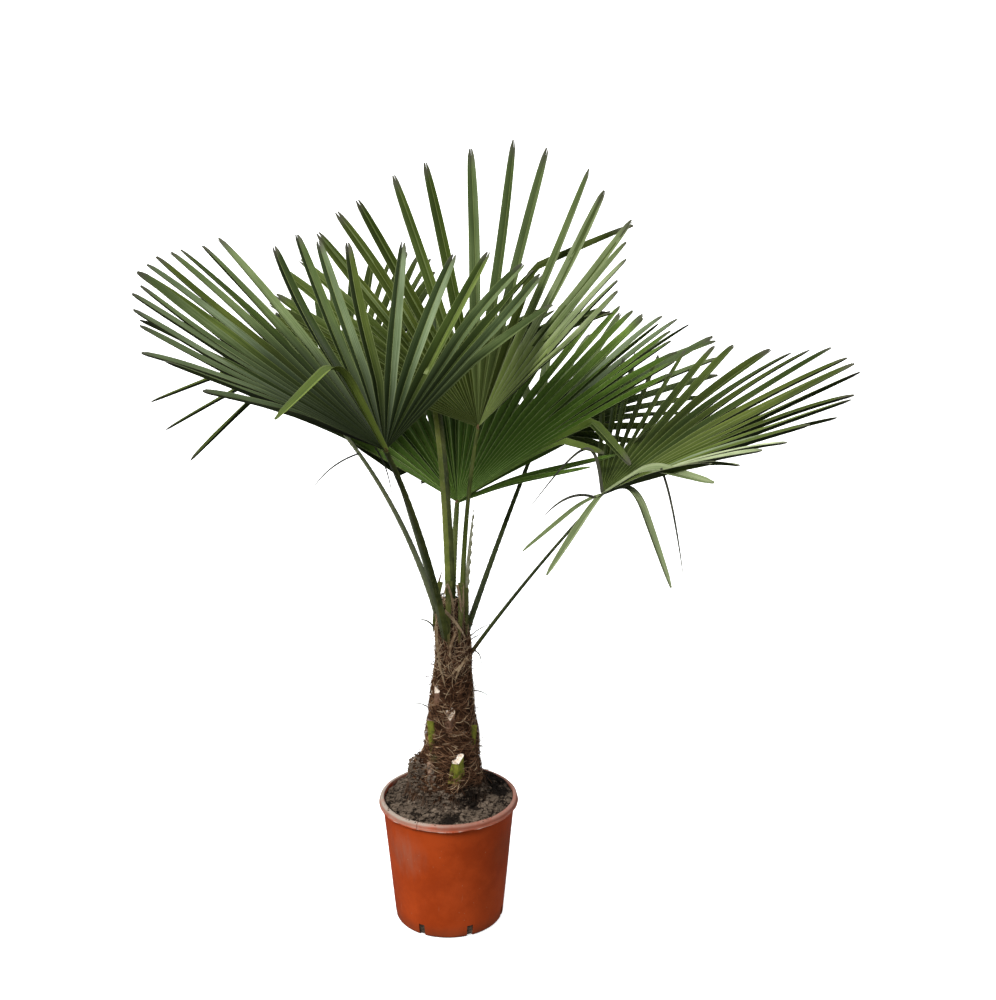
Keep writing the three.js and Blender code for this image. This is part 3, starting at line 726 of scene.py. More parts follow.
# %% Soil crumbs
CRUMBS = {"count": 2400, "least": 0.7, "most": 3.6, "rim": 34}
CLODS = {"count": 300, "least": 2.2, "most": 7.0, "on_foot": 420, "on_swelling": 230}


def ball(detail):
    bm = bmesh.new()
    bmesh.ops.create_icosphere(bm, subdivisions=detail, radius=1)
    return as_mesh("ball", bm)


rng = random.Random(11)


def crumb_plan():
    """Where each crumb lies, in millimetres, and its size."""
    plan = []
    side = pot_inside(SOIL["edge"]) - 4
    while len(plan) < CRUMBS["count"]:
        radius = side * math.sqrt(rng.uniform(0.18, 1))
        azimuth = rng.uniform(0, 360)
        heap = max(0, math.cos(math.radians(azimuth - SOIL["heap_azimuth"] + 40)))
        if rng.random() > 0.35 + 0.65 * heap:
            continue
        place = direction(azimuth, 0) * radius
        size = lerp(CRUMBS["least"], CRUMBS["most"], rng.random() ** 3) * (1 + 0.7 * heap * rng.random())
        place.z = soil_height(place.x, place.y)[0] + 0.3 * size
        plan.append((place, size, rng.random() * 50))
    for _ in range(CRUMBS["rim"]):
        place = direction(rng.uniform(200, 330), 0) * rng.uniform(130, 137)
        plan.append((place + UP * (POT["height"] - 0.2), rng.uniform(0.5, 1.6), rng.random() * 50))
    return plan


def clod_plan():
    """Bigger clods: piled round the trunk's foot, and highest behind it on the right."""
    plan = []
    side = pot_inside(SOIL["edge"]) - 10
    while len(plan) < CLODS["count"]:
        azimuth, share = rng.uniform(0, 360), rng.random()
        place = direction(azimuth, 0) * lerp(60, side, share ** 1.5) + Vector((-2, 0, 0))
        heap = max(0, math.cos(math.radians(azimuth - 58))) ** 2
        size = lerp(CLODS["least"], CLODS["most"], rng.random() ** 2)
        if rng.random() > 0.45 + 0.55 * heap:
            continue
        piled = rng.random() * heap * 15 * math.sin(math.pi * min(1, share + 0.25))
        place.z = soil_height(place.x, place.y)[0] + 0.3 * size + piled
        plan.append((place, size, rng.random() * 50))
    for _ in range(CLODS["on_foot"]):
        climb, size = rng.random() ** 2, rng.uniform(1.8, 5.0)
        place = trunk_point(262 + 34 * climb, rng.gauss(320, 110) % 360, lerp(5, 0, climb))
        plan.append((place, size, rng.random() * 30))
    for _ in range(CLODS["on_swelling"]):
        place = trunk_point(rng.uniform(298, 350), rng.gauss(205, 20) % 360, rng.uniform(0, 3.6))
        plan.append((place, rng.uniform(0.9, 2.7), 30 + rng.random() * 20))
    return plan


def crumbs_bmesh(plan, detail, knobs):
    def place_crumb(copy, point):
        place, size, seed = plan[copy]
        knobbly = 1 + knobs * noise.noise(point * 1.4 + Vector((seed, 0, 0)))
        knobbly += 0.6 * knobs * noise.noise(point * 3.3 + Vector((0, seed, 0)))
        turned = Matrix.Rotation(seed, 3, "Z") @ (point * knobbly)
        return (place + Vector((turned.x * 1.25, turned.y, turned.z * 0.75)) * size) * MM

    bm = strewn(ball(detail), len(plan), place_crumb)
    size = len(bm.faces) // len(plan)
    earth_uv = bm.loops.layers.uv.new("earth")
    for number, face in enumerate(bm.faces):
        place, _, seed = plan[number // size]
        shady = max(0, math.cos(math.atan2(place.y, place.x) - math.radians(58)))
        for loop in face.loops:
            loop[earth_uv].uv = (0.55 * shady * (seed % 1), seed / 50)
    return bm


make_piece("soil_crumbs", crumbs_bmesh(crumb_plan(), 1, 0.45), [soil_finish], crease=20)

# %% [markdown]
# ## The trunk
#
# The trunk of this palm is hidden under the fibrous sheaths of its old leaves. Three layers give
# that look: a core with the fibre's relief worked into its mesh, a few thousand separate strands
# that lie on it in crossing curves, and loose hairs that stand off its sides. One rule gives the
# trunk's surface, and every layer is laid on it.

# %% Trunk surface
TRUNK = {
    "foot": 252, "top": 665, "steps": 200, "rings": 250, "lumps": 2.2, "core": -4.0,
    "stations": [
        (252, 2, 70), (259, 2, 67), (300, 4, 64), (345, 7, 58), (375, 8, 54.5), (410, 8, 51),
        (459, 8, 45.5), (507, 9.5, 40.5), (550, 11.5, 36.5), (590, 12, 33.5), (615, 11, 31.5),
        (640, 9, 28.5), (665, 9, 26), (700, 10, 20),
    ],
    "swelling": {"azimuth": 182, "width": 34, "height": 332, "above": 20, "below": 55, "size": 23},
}


def apart(azimuth, other):
    return abs((azimuth - other + 540) % 360 - 180)


def trunk_radius(height, azimuth):
    a, swelling = math.radians(azimuth), TRUNK["swelling"]
    lump = TRUNK["lumps"] * math.sin(5 * a + height / 23) * math.cos(3 * a - height / 41)
    aside = apart(azimuth, swelling["azimuth"]) / swelling["width"]
    rise = height - swelling["height"]
    rise /= swelling["above"] if rise > 0 else swelling["below"]
    bulge = swelling["size"] * math.exp(-aside * aside) * math.exp(-rise * rise)
    return between(TRUNK["stations"], height, 2) + lump + bulge


def trunk_point(height, azimuth, out=0.0):
    """A place on the trunk's surface, or out from it, in millimetres."""
    level = direction(azimuth, 0) * (trunk_radius(height, azimuth) + out)
    return level + Vector((between(TRUNK["stations"], height, 1), 0, height))


def fibre_relief(height, azimuth):
    """Unevenness of the matted fibre: soft lumps with slanting ridges on them."""
    a = math.radians(azimuth)
    round_x, round_y = math.cos(a) * 50, math.sin(a) * 50
    lumps = 3.0 * noise.noise(Vector((round_x, round_y, height)) / 17)
    slant = height * 1.4 + azimuth * 0.9
    ridged = 1 - abs(noise.noise(Vector((slant / 4.2, azimuth / 30, height / 40)))) * 2
    crossed = height * 1.3 - azimuth * 0.9
    ridged += 1 - abs(noise.noise(Vector((crossed / 4.6, azimuth / 30 + 7, height / 40)))) * 2
    rough_foot = 1 + 1.1 * ease((345 - height) / 60)
    return lumps * rough_foot + 1.3 * ridged - 1.0


make_piece("soil_clods", crumbs_bmesh(clod_plan(), 2, 0.8), [soil_finish], crease=25)

bm = bar(TRUNK["steps"], TRUNK["rings"])
for vert in bm.verts:
    height = lerp(TRUNK["foot"], TRUNK["top"], vert.co.z)
    azimuth = math.degrees(math.atan2(vert.co.y, vert.co.x)) % 360
    vert.co = trunk_point(height, azimuth, TRUNK["core"] + fibre_relief(height, azimuth)) * MM
crown = [f for f in bm.faces if f.normal.z > 0.9 and len(f.verts) > 8]
for inwards, up in [(8, 4), (9, 5)]:
    bmesh.ops.inset_region(bm, faces=crown, thickness=inwards * MM, depth=up * MM)
face_outwards(bm)

# %% Trunk finish
def fibre_finish(name, dark, light, pale, scale):
    """Dry fibre: streaks of brown with paler threads and a little moss low down."""
    finish, tree, _ = plain_finish(name, dark, 0.9, 0.1)
    p = Patterns(tree)
    here = p.here()
    tint, grain = p.mottled(dark, light, scale)
    threads = p.noise(p.stretched(here, (260.0, 260.0, 60.0)), 1.0, 3.0, 0.7, 1.6)
    tint = p.mix(p.step(threads, 0.55, 0.72), tint, pale)
    mossy = p.step(p.noise(here, 26.0, 5.0, 0.7), 0.58, 0.68)
    mossy = p.times(mossy, p.near((-0.055, -0.03, 0.335), 0.10))
    tint = p.mix(p.times(mossy, 0.75), tint, (0.085, 0.085, 0.035))
    low = p.plus(p.parts(here, 2), p.times(p.noise(here, 38.0, 5.0, 0.7), 0.07))
    earthy = p.times(p.step(low, 0.345, 0.300), p.step(p.noise(here, 90.0, 5.0, 0.7), 0.38, 0.6))
    tint = p.mix(p.times(earthy, 0.7), tint, (0.105, 0.085, 0.066))
    shaded = p.step(p.near((0.046, -0.050, 0.272), 0.055), 0.05, 0.5, 0.0, 0.85)
    tint = p.mix(shaded, tint, (0.010, 0.007, 0.005))
    p.dress(tint, p.plus(grain, threads), 0.8, 0.002)
    return finish


mat_finish = fibre_finish(
    "matted fibre", (0.014, 0.006, 0.003), (0.062, 0.027, 0.013), (0.115, 0.058, 0.030), 95.0
)
make_piece("trunk_mat", bm, [mat_finish], ["trunk"], crease=60)

# %% [markdown]
# Every strand is the same three-sided bar, bent along an arc that is laid on the trunk. Its start,
# heading and curl come from a seeded random number, so the same strands grow each time. Low on
# the trunk they wrap round it, and higher up they climb and cross, as the sheaths of the younger
# leaves do.

# %% Strands and hairs on the trunk
def strand_plan(rng, count, low, high, length, width, lift, slants):
    """Chooses where each strand starts, where it heads, how it curls and how thick it is."""
    plan = []
    for _ in range(count):
        height = rng.uniform(low, high)
        slant = between(slants, height) + rng.gauss(0, between(slants, height, 2))
        plan.append({
            "height": height,
            "azimuth": rng.uniform(0, 360),
            "heading": math.radians(slant if rng.random() < 0.5 else 180 - slant),
            "curl": rng.gauss(0, 0.75),
            "length": rng.uniform(*length),
            "width": rng.uniform(*width),
            "lift": rng.uniform(*lift),
        })
    return plan


def strand_point(strand, share):
    """A place along a strand: an arc on the trunk's surface that lifts off in the middle."""
    heading, curl, length = strand["heading"], strand["curl"], strand["length"]
    if abs(curl) < 0.05:
        curl = 0.05
    aside = length / curl * (math.sin(heading + curl * share) - math.sin(heading))
    climb = length / curl * (math.cos(heading) - math.cos(heading + curl * share))
    height = min(max(strand["height"] + climb, TRUNK["foot"] + 1), TRUNK["top"] + 20)
    radius = between(TRUNK["stations"], height, 2)
    azimuth = strand["azimuth"] + math.degrees(aside / radius)
    out = -2.2 + strand["lift"] * math.sin(math.pi * share)
    return trunk_point(height, azimuth % 360, out)


def lay_strands(name, plan, rings, finish, path):
    """One joined piece of three-sided bars, each along its own path."""
    template = as_mesh("strand", bar(3, rings))
    centres = {}
    for copy, strand in enumerate(plan):
        centres[copy] = [path(strand, ring / rings) for ring in range(rings + 1)]

    def place(copy, point):
        line = centres[copy]
        ring = round(point.z * rings)
        along = (line[min(ring + 1, rings)] - line[max(ring - 1, 0)]).normalized()
        out = Vector((line[ring].x, line[ring].y, 0)).normalized()
        across = along.cross(out).normalized()
        thick = plan[copy]["width"] / 2 * (1 - 0.75 * abs(2 * point.z - 1) ** 3)
        return (line[ring] + (across * point.x + across.cross(along) * point.y * 0.7) * thick) * MM

    bm = strewn(template, len(plan), place)
    face_outwards(bm)
    return make_piece(name, bm, [finish], crease=80)


SLANTS = [(252, 40, 40), (330, 8, 18), (370, 6, 16), (430, 25, 40), (560, 50, 30), (665, 66, 22)]
strand_dark = fibre_finish(
    "dark strands", (0.022, 0.009, 0.004), (0.090, 0.040, 0.019), (0.15, 0.082, 0.044), 60.0
)
strand_brown = fibre_finish(
    "brown strands", (0.11, 0.052, 0.026), (0.27, 0.150, 0.084), (0.29, 0.175, 0.108), 55.0
)
strand_pale = fibre_finish(
    "pale strands", (0.32, 0.21, 0.125), (0.60, 0.45, 0.29), (0.52, 0.40, 0.27), 50.0
)
rng = random.Random(5)
plan = strand_plan(rng, 2800, 262, 668, (16, 46), (0.8, 1.7), (0.2, 3.4), SLANTS)
lay_strands("trunk_strands", plan, 7, strand_dark, strand_point)
plan = strand_plan(rng, 2000, 262, 670, (12, 44), (0.7, 1.4), (1.0, 4.2), SLANTS)
lay_strands("trunk_brown_strands", plan, 7, strand_brown, strand_point)
plan = strand_plan(rng, 460, 285, 672, (10, 40), (0.6, 1.4), (1.8, 5.2), SLANTS)
plan += strand_plan(rng, 300, 520, 676, (18, 60), (0.7, 1.6), (1.8, 5.8), SLANTS)
lay_strands("trunk_pale_strands", plan, 8, strand_pale, strand_point)


def hair_point(hair, share):
    """A hair starts in the fibre, stands off the trunk and droops a little."""
    start = trunk_point(hair["height"], hair["azimuth"], -1)
    rise = math.sin(hair["heading"]) * 0.7
    out = direction(hair["azimuth"] + hair["curl"] * 30 * share, 0)
    reach = hair["length"] * share
    droop = 0.35 * hair["length"] * share * share * abs(hair["curl"])
    return start + out * reach * 0.85 + UP * (reach * rise - droop)


def root_point(root, share):
    """A root runs down the trunk's foot and out into the earth."""
    azimuth = root["azimuth"] + root["curl"] * 14 * share
    start = trunk_point(root["height"], azimuth % 360, root["lift"])
    end = direction(azimuth, 0) * (start.xy.length + root["length"] * 0.7)
    end.z = soil_height(end.x, end.y)[0] - 2
    place = start.lerp(end, share)
    place.z -= (start.z - end.z) * 0.35 * math.sin(math.pi * share)
    return place


plan = strand_plan(rng, 1000, 300, 664, (6, 30), (0.6, 1.1), (0, 0), [(252, 0, 50), (665, 30, 50)])
lay_strands("trunk_hairs", plan, 6, strand_dark, hair_point)
plan = strand_plan(rng, 620, 268, 306, (12, 46), (0.7, 1.7), (-1, 3), SLANTS)
lay_strands("trunk_roots", plan, 6, strand_dark, root_point)
plan = strand_plan(rng, 130, 268, 300, (8, 34), (0.6, 1.2), (0, 4), SLANTS)
lay_strands("trunk_pale_roots", plan, 6, strand_brown, root_point)

# %% [markdown]
# ## Cut leaf bases
#
# Where old leaves were pruned, short green stubs stick out of the fibre and end in a pale cut.
# Each stub is a bar that leans out of the trunk. `bisect_plane` slices its top off at a slant,
# and the open end is filled again, so the cut has a face of its own for the pale finish.

# %% Leaf bases
# Each stub's place and size in millimetres and degrees, the colours of its body and of its cut, and
# how steeply the cut slants outwards and sideways
STUB_COLUMNS = ("azimuth", "foot", "top", "width", "depth", "stand", "body", "cut", "slant", "sideways")
STUB_ROWS = [
    (283, 304, 362, 33, 15, 13, "green", "pale", 40, 26),
    (215, 360, 436, 28, 14, 13, "green", "dull", -12, 10),
    (331, 358, 424, 24, 14, 10, "green", "dull", -10, -20),
    (268, 404, 453, 25, 12, 5, "brown", "pale", 62, 4),
    (222, 460, 498, 20, 11, 6, "brown", "pale", 52, -25),
    (229, 298, 338, 22, 12, 9, "brown", "dull", 62, -38),
    (100, 330, 392, 28, 14, 11, "green", "pale", 34, 15),
    (50, 392, 454, 26, 14, 10, "brown", "dull", 30, -20),
    (150, 440, 500, 25, 13, 9, "green", "pale", 30, 10),
]
LEAF_BASES = [dict(zip(STUB_COLUMNS, row)) for row in STUB_ROWS]


def stub_finish(name, dark, light, brown):
    finish, tree, _ = plain_finish(name, dark, 0.62, 0.25)
    p = Patterns(tree)
    tint, grain = p.mottled(dark, light, 55.0)
    streaks = p.noise(p.stretched(p.here(), (190.0, 190.0, 22.0)), 1.0, 4.0, 0.7)
    tint = p.mix(p.step(streaks, 0.52, 0.7), tint, brown)
    p.dress(tint, p.plus(grain, streaks), 0.5, 0.0012)
    return finish


stub_finishes = {
    "green": stub_finish(
        "green leaf base", (0.085, 0.095, 0.010), (0.230, 0.245, 0.028), (0.110, 0.085, 0.018)
    ),
    "brown": stub_finish(
        "brown leaf base", (0.10, 0.05, 0.03), (0.25, 0.14, 0.09), (0.06, 0.03, 0.018)
    ),
}


def cut_look(name, dark, light, spot):
    """A sawn palm leaf base: pale, with darker spots where its fibres end."""
    finish, tree, _ = plain_finish(name, light, 0.8, 0.2)
    p = Patterns(tree)
    here = p.here()
    tint, grain = p.mottled(dark, light, 130.0)
    dots = p.step(p.cells(here, 330.0), 0.30, 0.16)
    torn = p.step(p.noise(here, 210.0, 3.0, 0.6), 0.62, 0.70)
    spots = p.math("MAXIMUM", dots, torn)
    tint = p.mix(p.times(spots, 0.65), tint, spot)
    p.dress(tint, p.less(grain, spots), 0.6, 0.001)
    return finish


cut_finishes = {
    "pale": cut_look("pale cut", (0.62, 0.48, 0.36), (0.90, 0.82, 0.72), (0.20, 0.10, 0.06)),
    "dull": cut_look("dull cut", (0.16, 0.09, 0.05), (0.36, 0.24, 0.17), (0.07, 0.04, 0.02)),
}


def leaf_base_bmesh(base):
    slant, sideways = math.radians(base["slant"]), math.radians(base["sideways"])
    out = direction(base["azimuth"], 0)
    across = direction(base["azimuth"] - 90, 0)
    bm = bar(20, 12)
    for vert in bm.verts:
        x, y, share = vert.co
        height = lerp(base["foot"] - 6, base["top"] + 14, share)
        swell = 0.72 + 0.28 * math.sin(math.pi * min(1, share + 0.25))
        away = lerp(-base["depth"], base["stand"] - base["depth"] / 2, share)
        centre = trunk_point(height, base["azimuth"], away)
        flat = 1.15 * (1 - abs(x)) ** 0.8 if y > 0 else -abs(y)
        centre += across * (x * base["width"] * swell / 2) + out * (flat * base["depth"] / 2)
        vert.co = (centre + out * 0.8 * noise.noise(centre / 6)) * MM
    edge = trunk_point(base["top"], base["azimuth"], base["stand"]) * MM
    tilt = UP * math.cos(slant) + out * math.sin(slant)
    tilt = (tilt + across * math.tan(sideways)).normalized()
    middle = edge - out * base["depth"] * 0.5 * MM
    geometry = list(bm.verts) + list(bm.edges) + list(bm.faces)
    cut = bmesh.ops.bisect_plane(bm, geom=geometry, plane_co=middle, plane_no=tilt, clear_outer=True)
    rim = [e for e in cut["geom_cut"] if isinstance(e, bmesh.types.BMEdge)]
    for face in bmesh.ops.contextual_create(bm, geom=rim)["faces"]:
        face.material_index = 1
    return bm


for number, base in enumerate(LEAF_BASES, 1):
    bm = leaf_base_bmesh(base)
    face_outwards(bm)
    finishes = [stub_finishes[base["body"]], cut_finishes[base["cut"]]]
    make_piece(f"cut_leaf_base_{number}", bm, finishes, [f"leaf_base_{number}"], crease=50)

# %% [markdown]
# ## The leaves
#
# A leaf of this palm is a pleated fan. Near the stalk its leaflets are joined edge to edge, each
# folded into a V, and further out they part into stiff straps with blunt, split tips. The plan
# of each fan is the one that the solid model follows. Here it is carried out finely: one
# `create_grid` makes the flat sheet, `split_edges` opens it between the leaflets and at their
# tips, every point is moved onto the pleats, and `solidify` gives the sheet its thickness.

# %% Plan of the leaves
# What a frond has unless its own plan says otherwise
PLAIN_FROND = {
    "crowding": 0, "skew": 0, "longest": 0, "parted": [], "bent": [], "strays": [], "leans": {},
    "slim": (0, -1, 1.0), "tone_looks": {}, "pale_edge": 0, "shaded_side": 0,
}
# look gives how strongly a blade takes on its hub colour towards the hub, that colour, how much its lines
# fade there and how far out it reaches. A dark hub colour is painted shade, deep in the funnel of pleats; a
# bright one is painted light. tone_looks give single tones a look of their own.
FRONDS = [
    {
        "name": "front_left", "hub": (-91, -275, 1037), "axis": (303, 74.5), "cone": 60.7,
        "turn": 23.1, "leaflets": 27, "half": 87.6, "crowding": 0.22, "skew": 0.53,
        "longest": 6, "reach": 499, "shorter": 0.065, "sag": 0.016,
        "strays": [{"knee": (-161, -335, 1202), "tip": (-224, -590, 1153), "width": 21, "tone": "stray"}],
        "parted": [(22.4, 2.6, 9.5), (14.6, 2.2, -2.6)],
        "leans": {
            0: (-23, -11, -14), 1: (1, -13, 3), 2: (6, -12, 8), 3: (9, 2, 12), 4: (11, 12, 13),
            5: (-2, 11, -12), 6: (7, 16, 5), 7: (5, 14, -6), 8: (4, 9, -3), 10: (2, 10, 10),
            13: (-10, -10, 5), 14: (-7, -8, 2), 15: (-12, -8, 4), 16: (36, -14, -22),
            17: (25, 3, -8), 18: (-8, -20, -13), 19: (-17, -4, 0), 21: (17, -8, 0),
            22: (6, 4, 0), 23: (20, 16, 6), 24: (14, 16, 6), 25: (10, 6, 5), 26: (2, -32, -12),
        },
        "foot": (0, -22, 600), "lean": 0.41, "rise": 0.6, "from": (20, 14), "to": (10, 8),
        "tones": [
            "light", "grey", "light", "olive", "light", "deep", "grey", "mid", "sheen", "olive", "grey",
            "deep", "grey", "sheen", "olive", "mid", "sheen", "light", "mid", "sheen", "grey",
        ],
        "look": [0.93, (0.004, 0.008, 0.001), 0.92, 0.62], "limb": "olive limb", "pale_edge": -1,
    },
    {
        "name": "upright", "hub": (62, 20, 1016), "axis": (233.8, 54.5), "cone": 55.9,
        "turn": 26.9, "leaflets": 24, "half": 84.1, "crowding": 0.45, "skew": 0.2,
        "longest": 4, "reach": 567, "shorter": 0.25, "sag": 0.036,
        "bent": [{
            "leaflet": 16, "knee": 316, "azimuth": -19, "elevation": 26, "beyond": 208, "tone": "olive",
        }],
        "leans": {
            8: (20, 2, -2), 9: (6, -1, -2), 10: (-10, -4, -4), 12: (-10, 4, 1), 13: (-5, 6, 5),
            14: (9, -3, 4), 17: (-14, 12, 0), 18: (-9, 13, -3), 19: (8, -11, 0),
        },
        "foot": (29, -3, 665), "lean": 0.18, "rise": 0.58, "from": (15, 12), "to": (9, 7),
        "tones": ["mid", "olive", "mid", "olive", "mid", "grey", "pale", "pale", "pale"],
        # The grey and pale tones take brighter hub colours: painted light on the shaded part of this fan.
        "tone_looks": {
            "grey": [0.6, (0.080, 0.106, 0.021), 0.2], "pale": [0.85, (0.245, 0.315, 0.080), 0.1],
        },
        "look": [0.78, (0.030, 0.042, 0.005), 0.1], "limb": "green limb",
    },
    {
        "name": "rear_upright", "hub": (-26, 129, 1064), "axis": (62.3, 72.2), "cone": 54.8,
        "turn": 163.9, "leaflets": 24, "half": 80.3, "crowding": 0.2, "skew": 0,
        "reach": 438, "shorter": 0.41, "sag": 0.058,
        "foot": (8, -8, 665), "lean": 0.15, "rise": 0.67, "from": (20, 14), "to": (17, 9),
        "tones": ["olive", "mid", "deep", "olive"], "look": [0.7], "limb": "yellow limb", "shaded_side": -1,
    },
    {
        "name": "rear_low", "hub": (18, 127, 840), "axis": (217.4, 73.2), "cone": 62.8,
        "turn": 19.4, "leaflets": 28, "half": 83,
        "longest": 13, "reach": 570, "shorter": 0.09, "sag": 0.193,
        "bent": [
            {"leaflet": 26, "knee": 360, "azimuth": -33, "elevation": -37, "beyond": 105},
            {"leaflet": 27, "knee": 305, "azimuth": -8, "elevation": -12, "beyond": 76},
        ],
        "strays": [
            {"knee": (139, 60, 906), "tip": (324, 0, 966), "width": 14, "tone": "fresh", "roll": 50},
            {"knee": (121, 60, 896), "tip": (274, -20, 947), "width": 12, "tone": "fresh", "roll": 50},
        ],
        "foot": (9, 13, 665), "lean": 0.42, "rise": 0.55, "from": (15, 12), "to": (10, 8),
        "tones": [
            "mid", "fresh", "mid", "fresh", "lush", "bright", "bright", "bright", "lush", "lush", "mid",
        ],
        # A bright hub colour: painted light, standing in for light through the leaf and lifting its shaded
        # middle.
        "look": [0.85, (0.085, 0.170, 0.021), 0.0, 0.78], "limb": "green limb",
    },
    {
        "name": "rear_right", "hub": (189, 325, 938), "axis": (210.8, 59.3), "cone": 89.7,
        "turn": 30.9, "leaflets": 26, "half": 114.4,
        "reach": 492, "shorter": 0.49, "sag": 0.192,
        "parted": [(11.8, 1.9, 7.5)],
        "leans": {
            12: (0, 25, 20), 13: (8, 18, 8), 14: (10, 8, 0), 16: (-14, 0, -12), 17: (3, -10, 0),
            18: (-8, 11, -6),
        },
        "foot": (40, 6, 615), "lean": 0.44, "rise": 0.49, "from": (13, 11), "to": (8, 7),
        "tones": ["mid", "grey", "mid", "grey", "sheen", "grey", "mid"], "look": [0.62], "limb": "dark limb",
    },
    {
        "name": "right", "hub": (296, -30, 896), "axis": (220.3, 82.9), "cone": 64.3,
        "turn": -30, "leaflets": 23, "half": 74.6,
        "longest": 3, "reach": 539, "shorter": 0.27, "sag": 0.148,
        "strays": [
            {"knee": (366, -190, 990), "tip": (446, -415, 1014), "width": 20, "tone": "pale", "roll": 40},
            {"knee": (346, -120, 944), "tip": (416, -160, 753), "width": 20, "tone": "pale"},
            {"knee": (263, -50, 890), "tip": (146, -100, 805), "width": 16, "tone": "pale"},
            {"knee": (279, -70, 890), "tip": (190, -130, 768), "width": 18, "tone": "pale"},
        ],
        "leans": {
            0: (9, -9, -4), 1: (16, 15, 9), 2: (-10, 14, 5), 3: (-14, 4, -2), 4: (-8, -3, -4),
            6: (-12, 5, -4), 7: (8, -16, -3), 8: (5, -12, -3), 10: (2, 6, 8), 11: (5, -2, 8),
            12: (0, 5, 6), 13: (-3, 13, 7), 14: (-4, 13, 9), 16: (-4, 8, 5), 19: (5, -5, -4),
        },
        "foot": (40, -4, 560), "lean": 0.44, "rise": 0.5, "from": (13, 11), "to": (9, 7),
        "slim": (0, 4, 0.5),
        "tones": ["mid", "olive", "mid", "olive", "deep", "olive", "olive", "mid", "sheen", "pale"],
        "look": [0.6, (0.045, 0.070, 0.010), 0.3], "limb": "dark limb",
    },
    {
        "name": "rear_left", "hub": (-214, 183, 972), "axis": (208.6, 63.2), "cone": 60,
        "turn": 47.9, "leaflets": 20, "half": 66,
        "reach": 486, "shorter": 0.35, "sag": 0.396,
        "bent": [
            {"leaflet": 0, "knee": 235, "azimuth": 180, "elevation": -43, "beyond": 184},
            {"leaflet": 1, "knee": 290, "azimuth": 180, "elevation": -28, "beyond": 186},
            {"leaflet": 2, "knee": 351, "azimuth": 180, "elevation": -20, "beyond": 192},
        ],
        "foot": (-19, 3, 648), "lean": 0.34, "rise": 0.61, "from": (16, 11), "to": (9, 7),
        "tones": ["olive", "deep", "olive", "mid"], "look": [0.6], "limb": "grey limb", "pale_edge": -1,
    },
    {
        "name": "low_left", "hub": (-107, 235, 867), "axis": (64.6, 87.8), "cone": 66,
        "turn": 197, "leaflets": 18, "half": 62,
        "reach": 370, "shorter": 0.4, "sag": 0.12,
        "foot": (-12, 14, 648), "lean": 0.5, "rise": 0.47, "from": (12, 10), "to": (8, 7),
        "tones": ["deep", "olive", "deep"], "look": [0.75], "limb": "dark limb",
    },
]
FRONDS = [{**PLAIN_FROND, **frond} for frond in FRONDS]
LEAFLET = {
    "width": 22, "fused_least": 0.27, "fused_most": 0.5, "fold": 0.46, "thickness": 0.55,
    # share of the free part, width there as a share of the full width
    "outline": [
        (0, 1.0), (0.3, 1.05), (0.55, 1.0), (0.75, 0.92), (0.88, 0.78), (0.95, 0.64), (0.985, 0.48),
        (1, 0.26),
    ],
    "columns": 8, "fused_rows": 9, "free_rows": 24, "split_rows": 1,
    # over which shares of the free part it takes on its own width, its slimness and its flatter fold
    "widens": 0.25, "slims": 0.12, "flattens": 0.6, "flat": 0.72,
}

# %% The rule that a leaflet follows
def fan_frame(frond):
    """The fan's axis, the direction of its middle leaflet round it, and its side."""
    axis = direction(*frond["axis"])
    level = (UP - axis * axis.dot(UP)).normalized()
    turn = math.radians(frond["turn"])
    middle = level * math.cos(turn) + axis.cross(level) * math.sin(turn)
    return axis, middle, middle.cross(axis)


def leaflet_angle(frond, place):
    across = 2 * place / (frond["leaflets"] - 1) - 1
    crowded = frond["crowding"] / math.pi * math.sin(math.pi * (across - frond["skew"]))
    angle = frond["half"] * (across + crowded)
    for middle, spread, turn in frond["parted"]:
        angle += turn * math.exp(-(((place - middle) / spread) ** 2))
    return angle


def leaflet_line(frond, place):
    """The line that a place among the leaflets follows, with its directions and lengths."""
    axis, middle, side = fan_frame(frond)
    angle, cone = math.radians(leaflet_angle(frond, place)), math.radians(frond["cone"])
    spread = middle * math.cos(angle) + side * math.sin(angle)
    along = spread * math.sin(cone) + axis * math.cos(cone)
    across = side * math.cos(angle) - middle * math.sin(angle)
    edge = (leaflet_angle(frond, place) - frond["longest"]) / frond["half"]
    reach = frond["reach"] * (1 - frond["shorter"] * edge * edge)
    step = leaflet_angle(frond, place + 0.5) - leaflet_angle(frond, place - 0.5)
    spacing = math.sin(cone) * math.radians(step)
    fused = LEAFLET["width"] / spacing
    fused = min(max(fused, LEAFLET["fused_least"] * reach), LEAFLET["fused_most"] * reach)
    first, last, slim = frond["slim"]
    slim = lerp(1.0, slim, ease((place - first + 1.5) / 1.5) * ease((last + 1.5 - place) / 1.5))
    fused *= lerp(0.2, 1.0, slim)
    bends = [one for one in frond["bent"] if one["leaflet"] == place]
    if bends:
        reach = bends[0]["knee"] + bends[0]["beyond"]
    return {
        "hub": Vector(frond["hub"]), "sag": frond["sag"] / 1000, "along": along, "across": across,
        "inward": across.cross(along), "reach": reach, "spacing": spacing, "fused": fused,
        "bend": bends[0] if bends else None, "slim": slim,
    }


def leaflet_point(line, distance, sideways, lift):
    """A place on a leaflet: distance from the hub, then sideways and upwards out of its line."""
    knee = line["bend"]["knee"] if line["bend"] else math.inf
    straight = min(distance, knee)
    place = line["hub"] + line["along"] * straight
    place.z -= line["sag"] * straight * straight * (1 - line["along"].z ** 2)
    if distance <= knee:
        return place + line["across"] * sideways + line["inward"] * lift
    onward = direction(line["bend"]["azimuth"], line["bend"]["elevation"])
    across = (line["across"] - onward * line["across"].dot(onward)).normalized()
    return place + onward * (distance - knee) + across * sideways + across.cross(onward) * lift


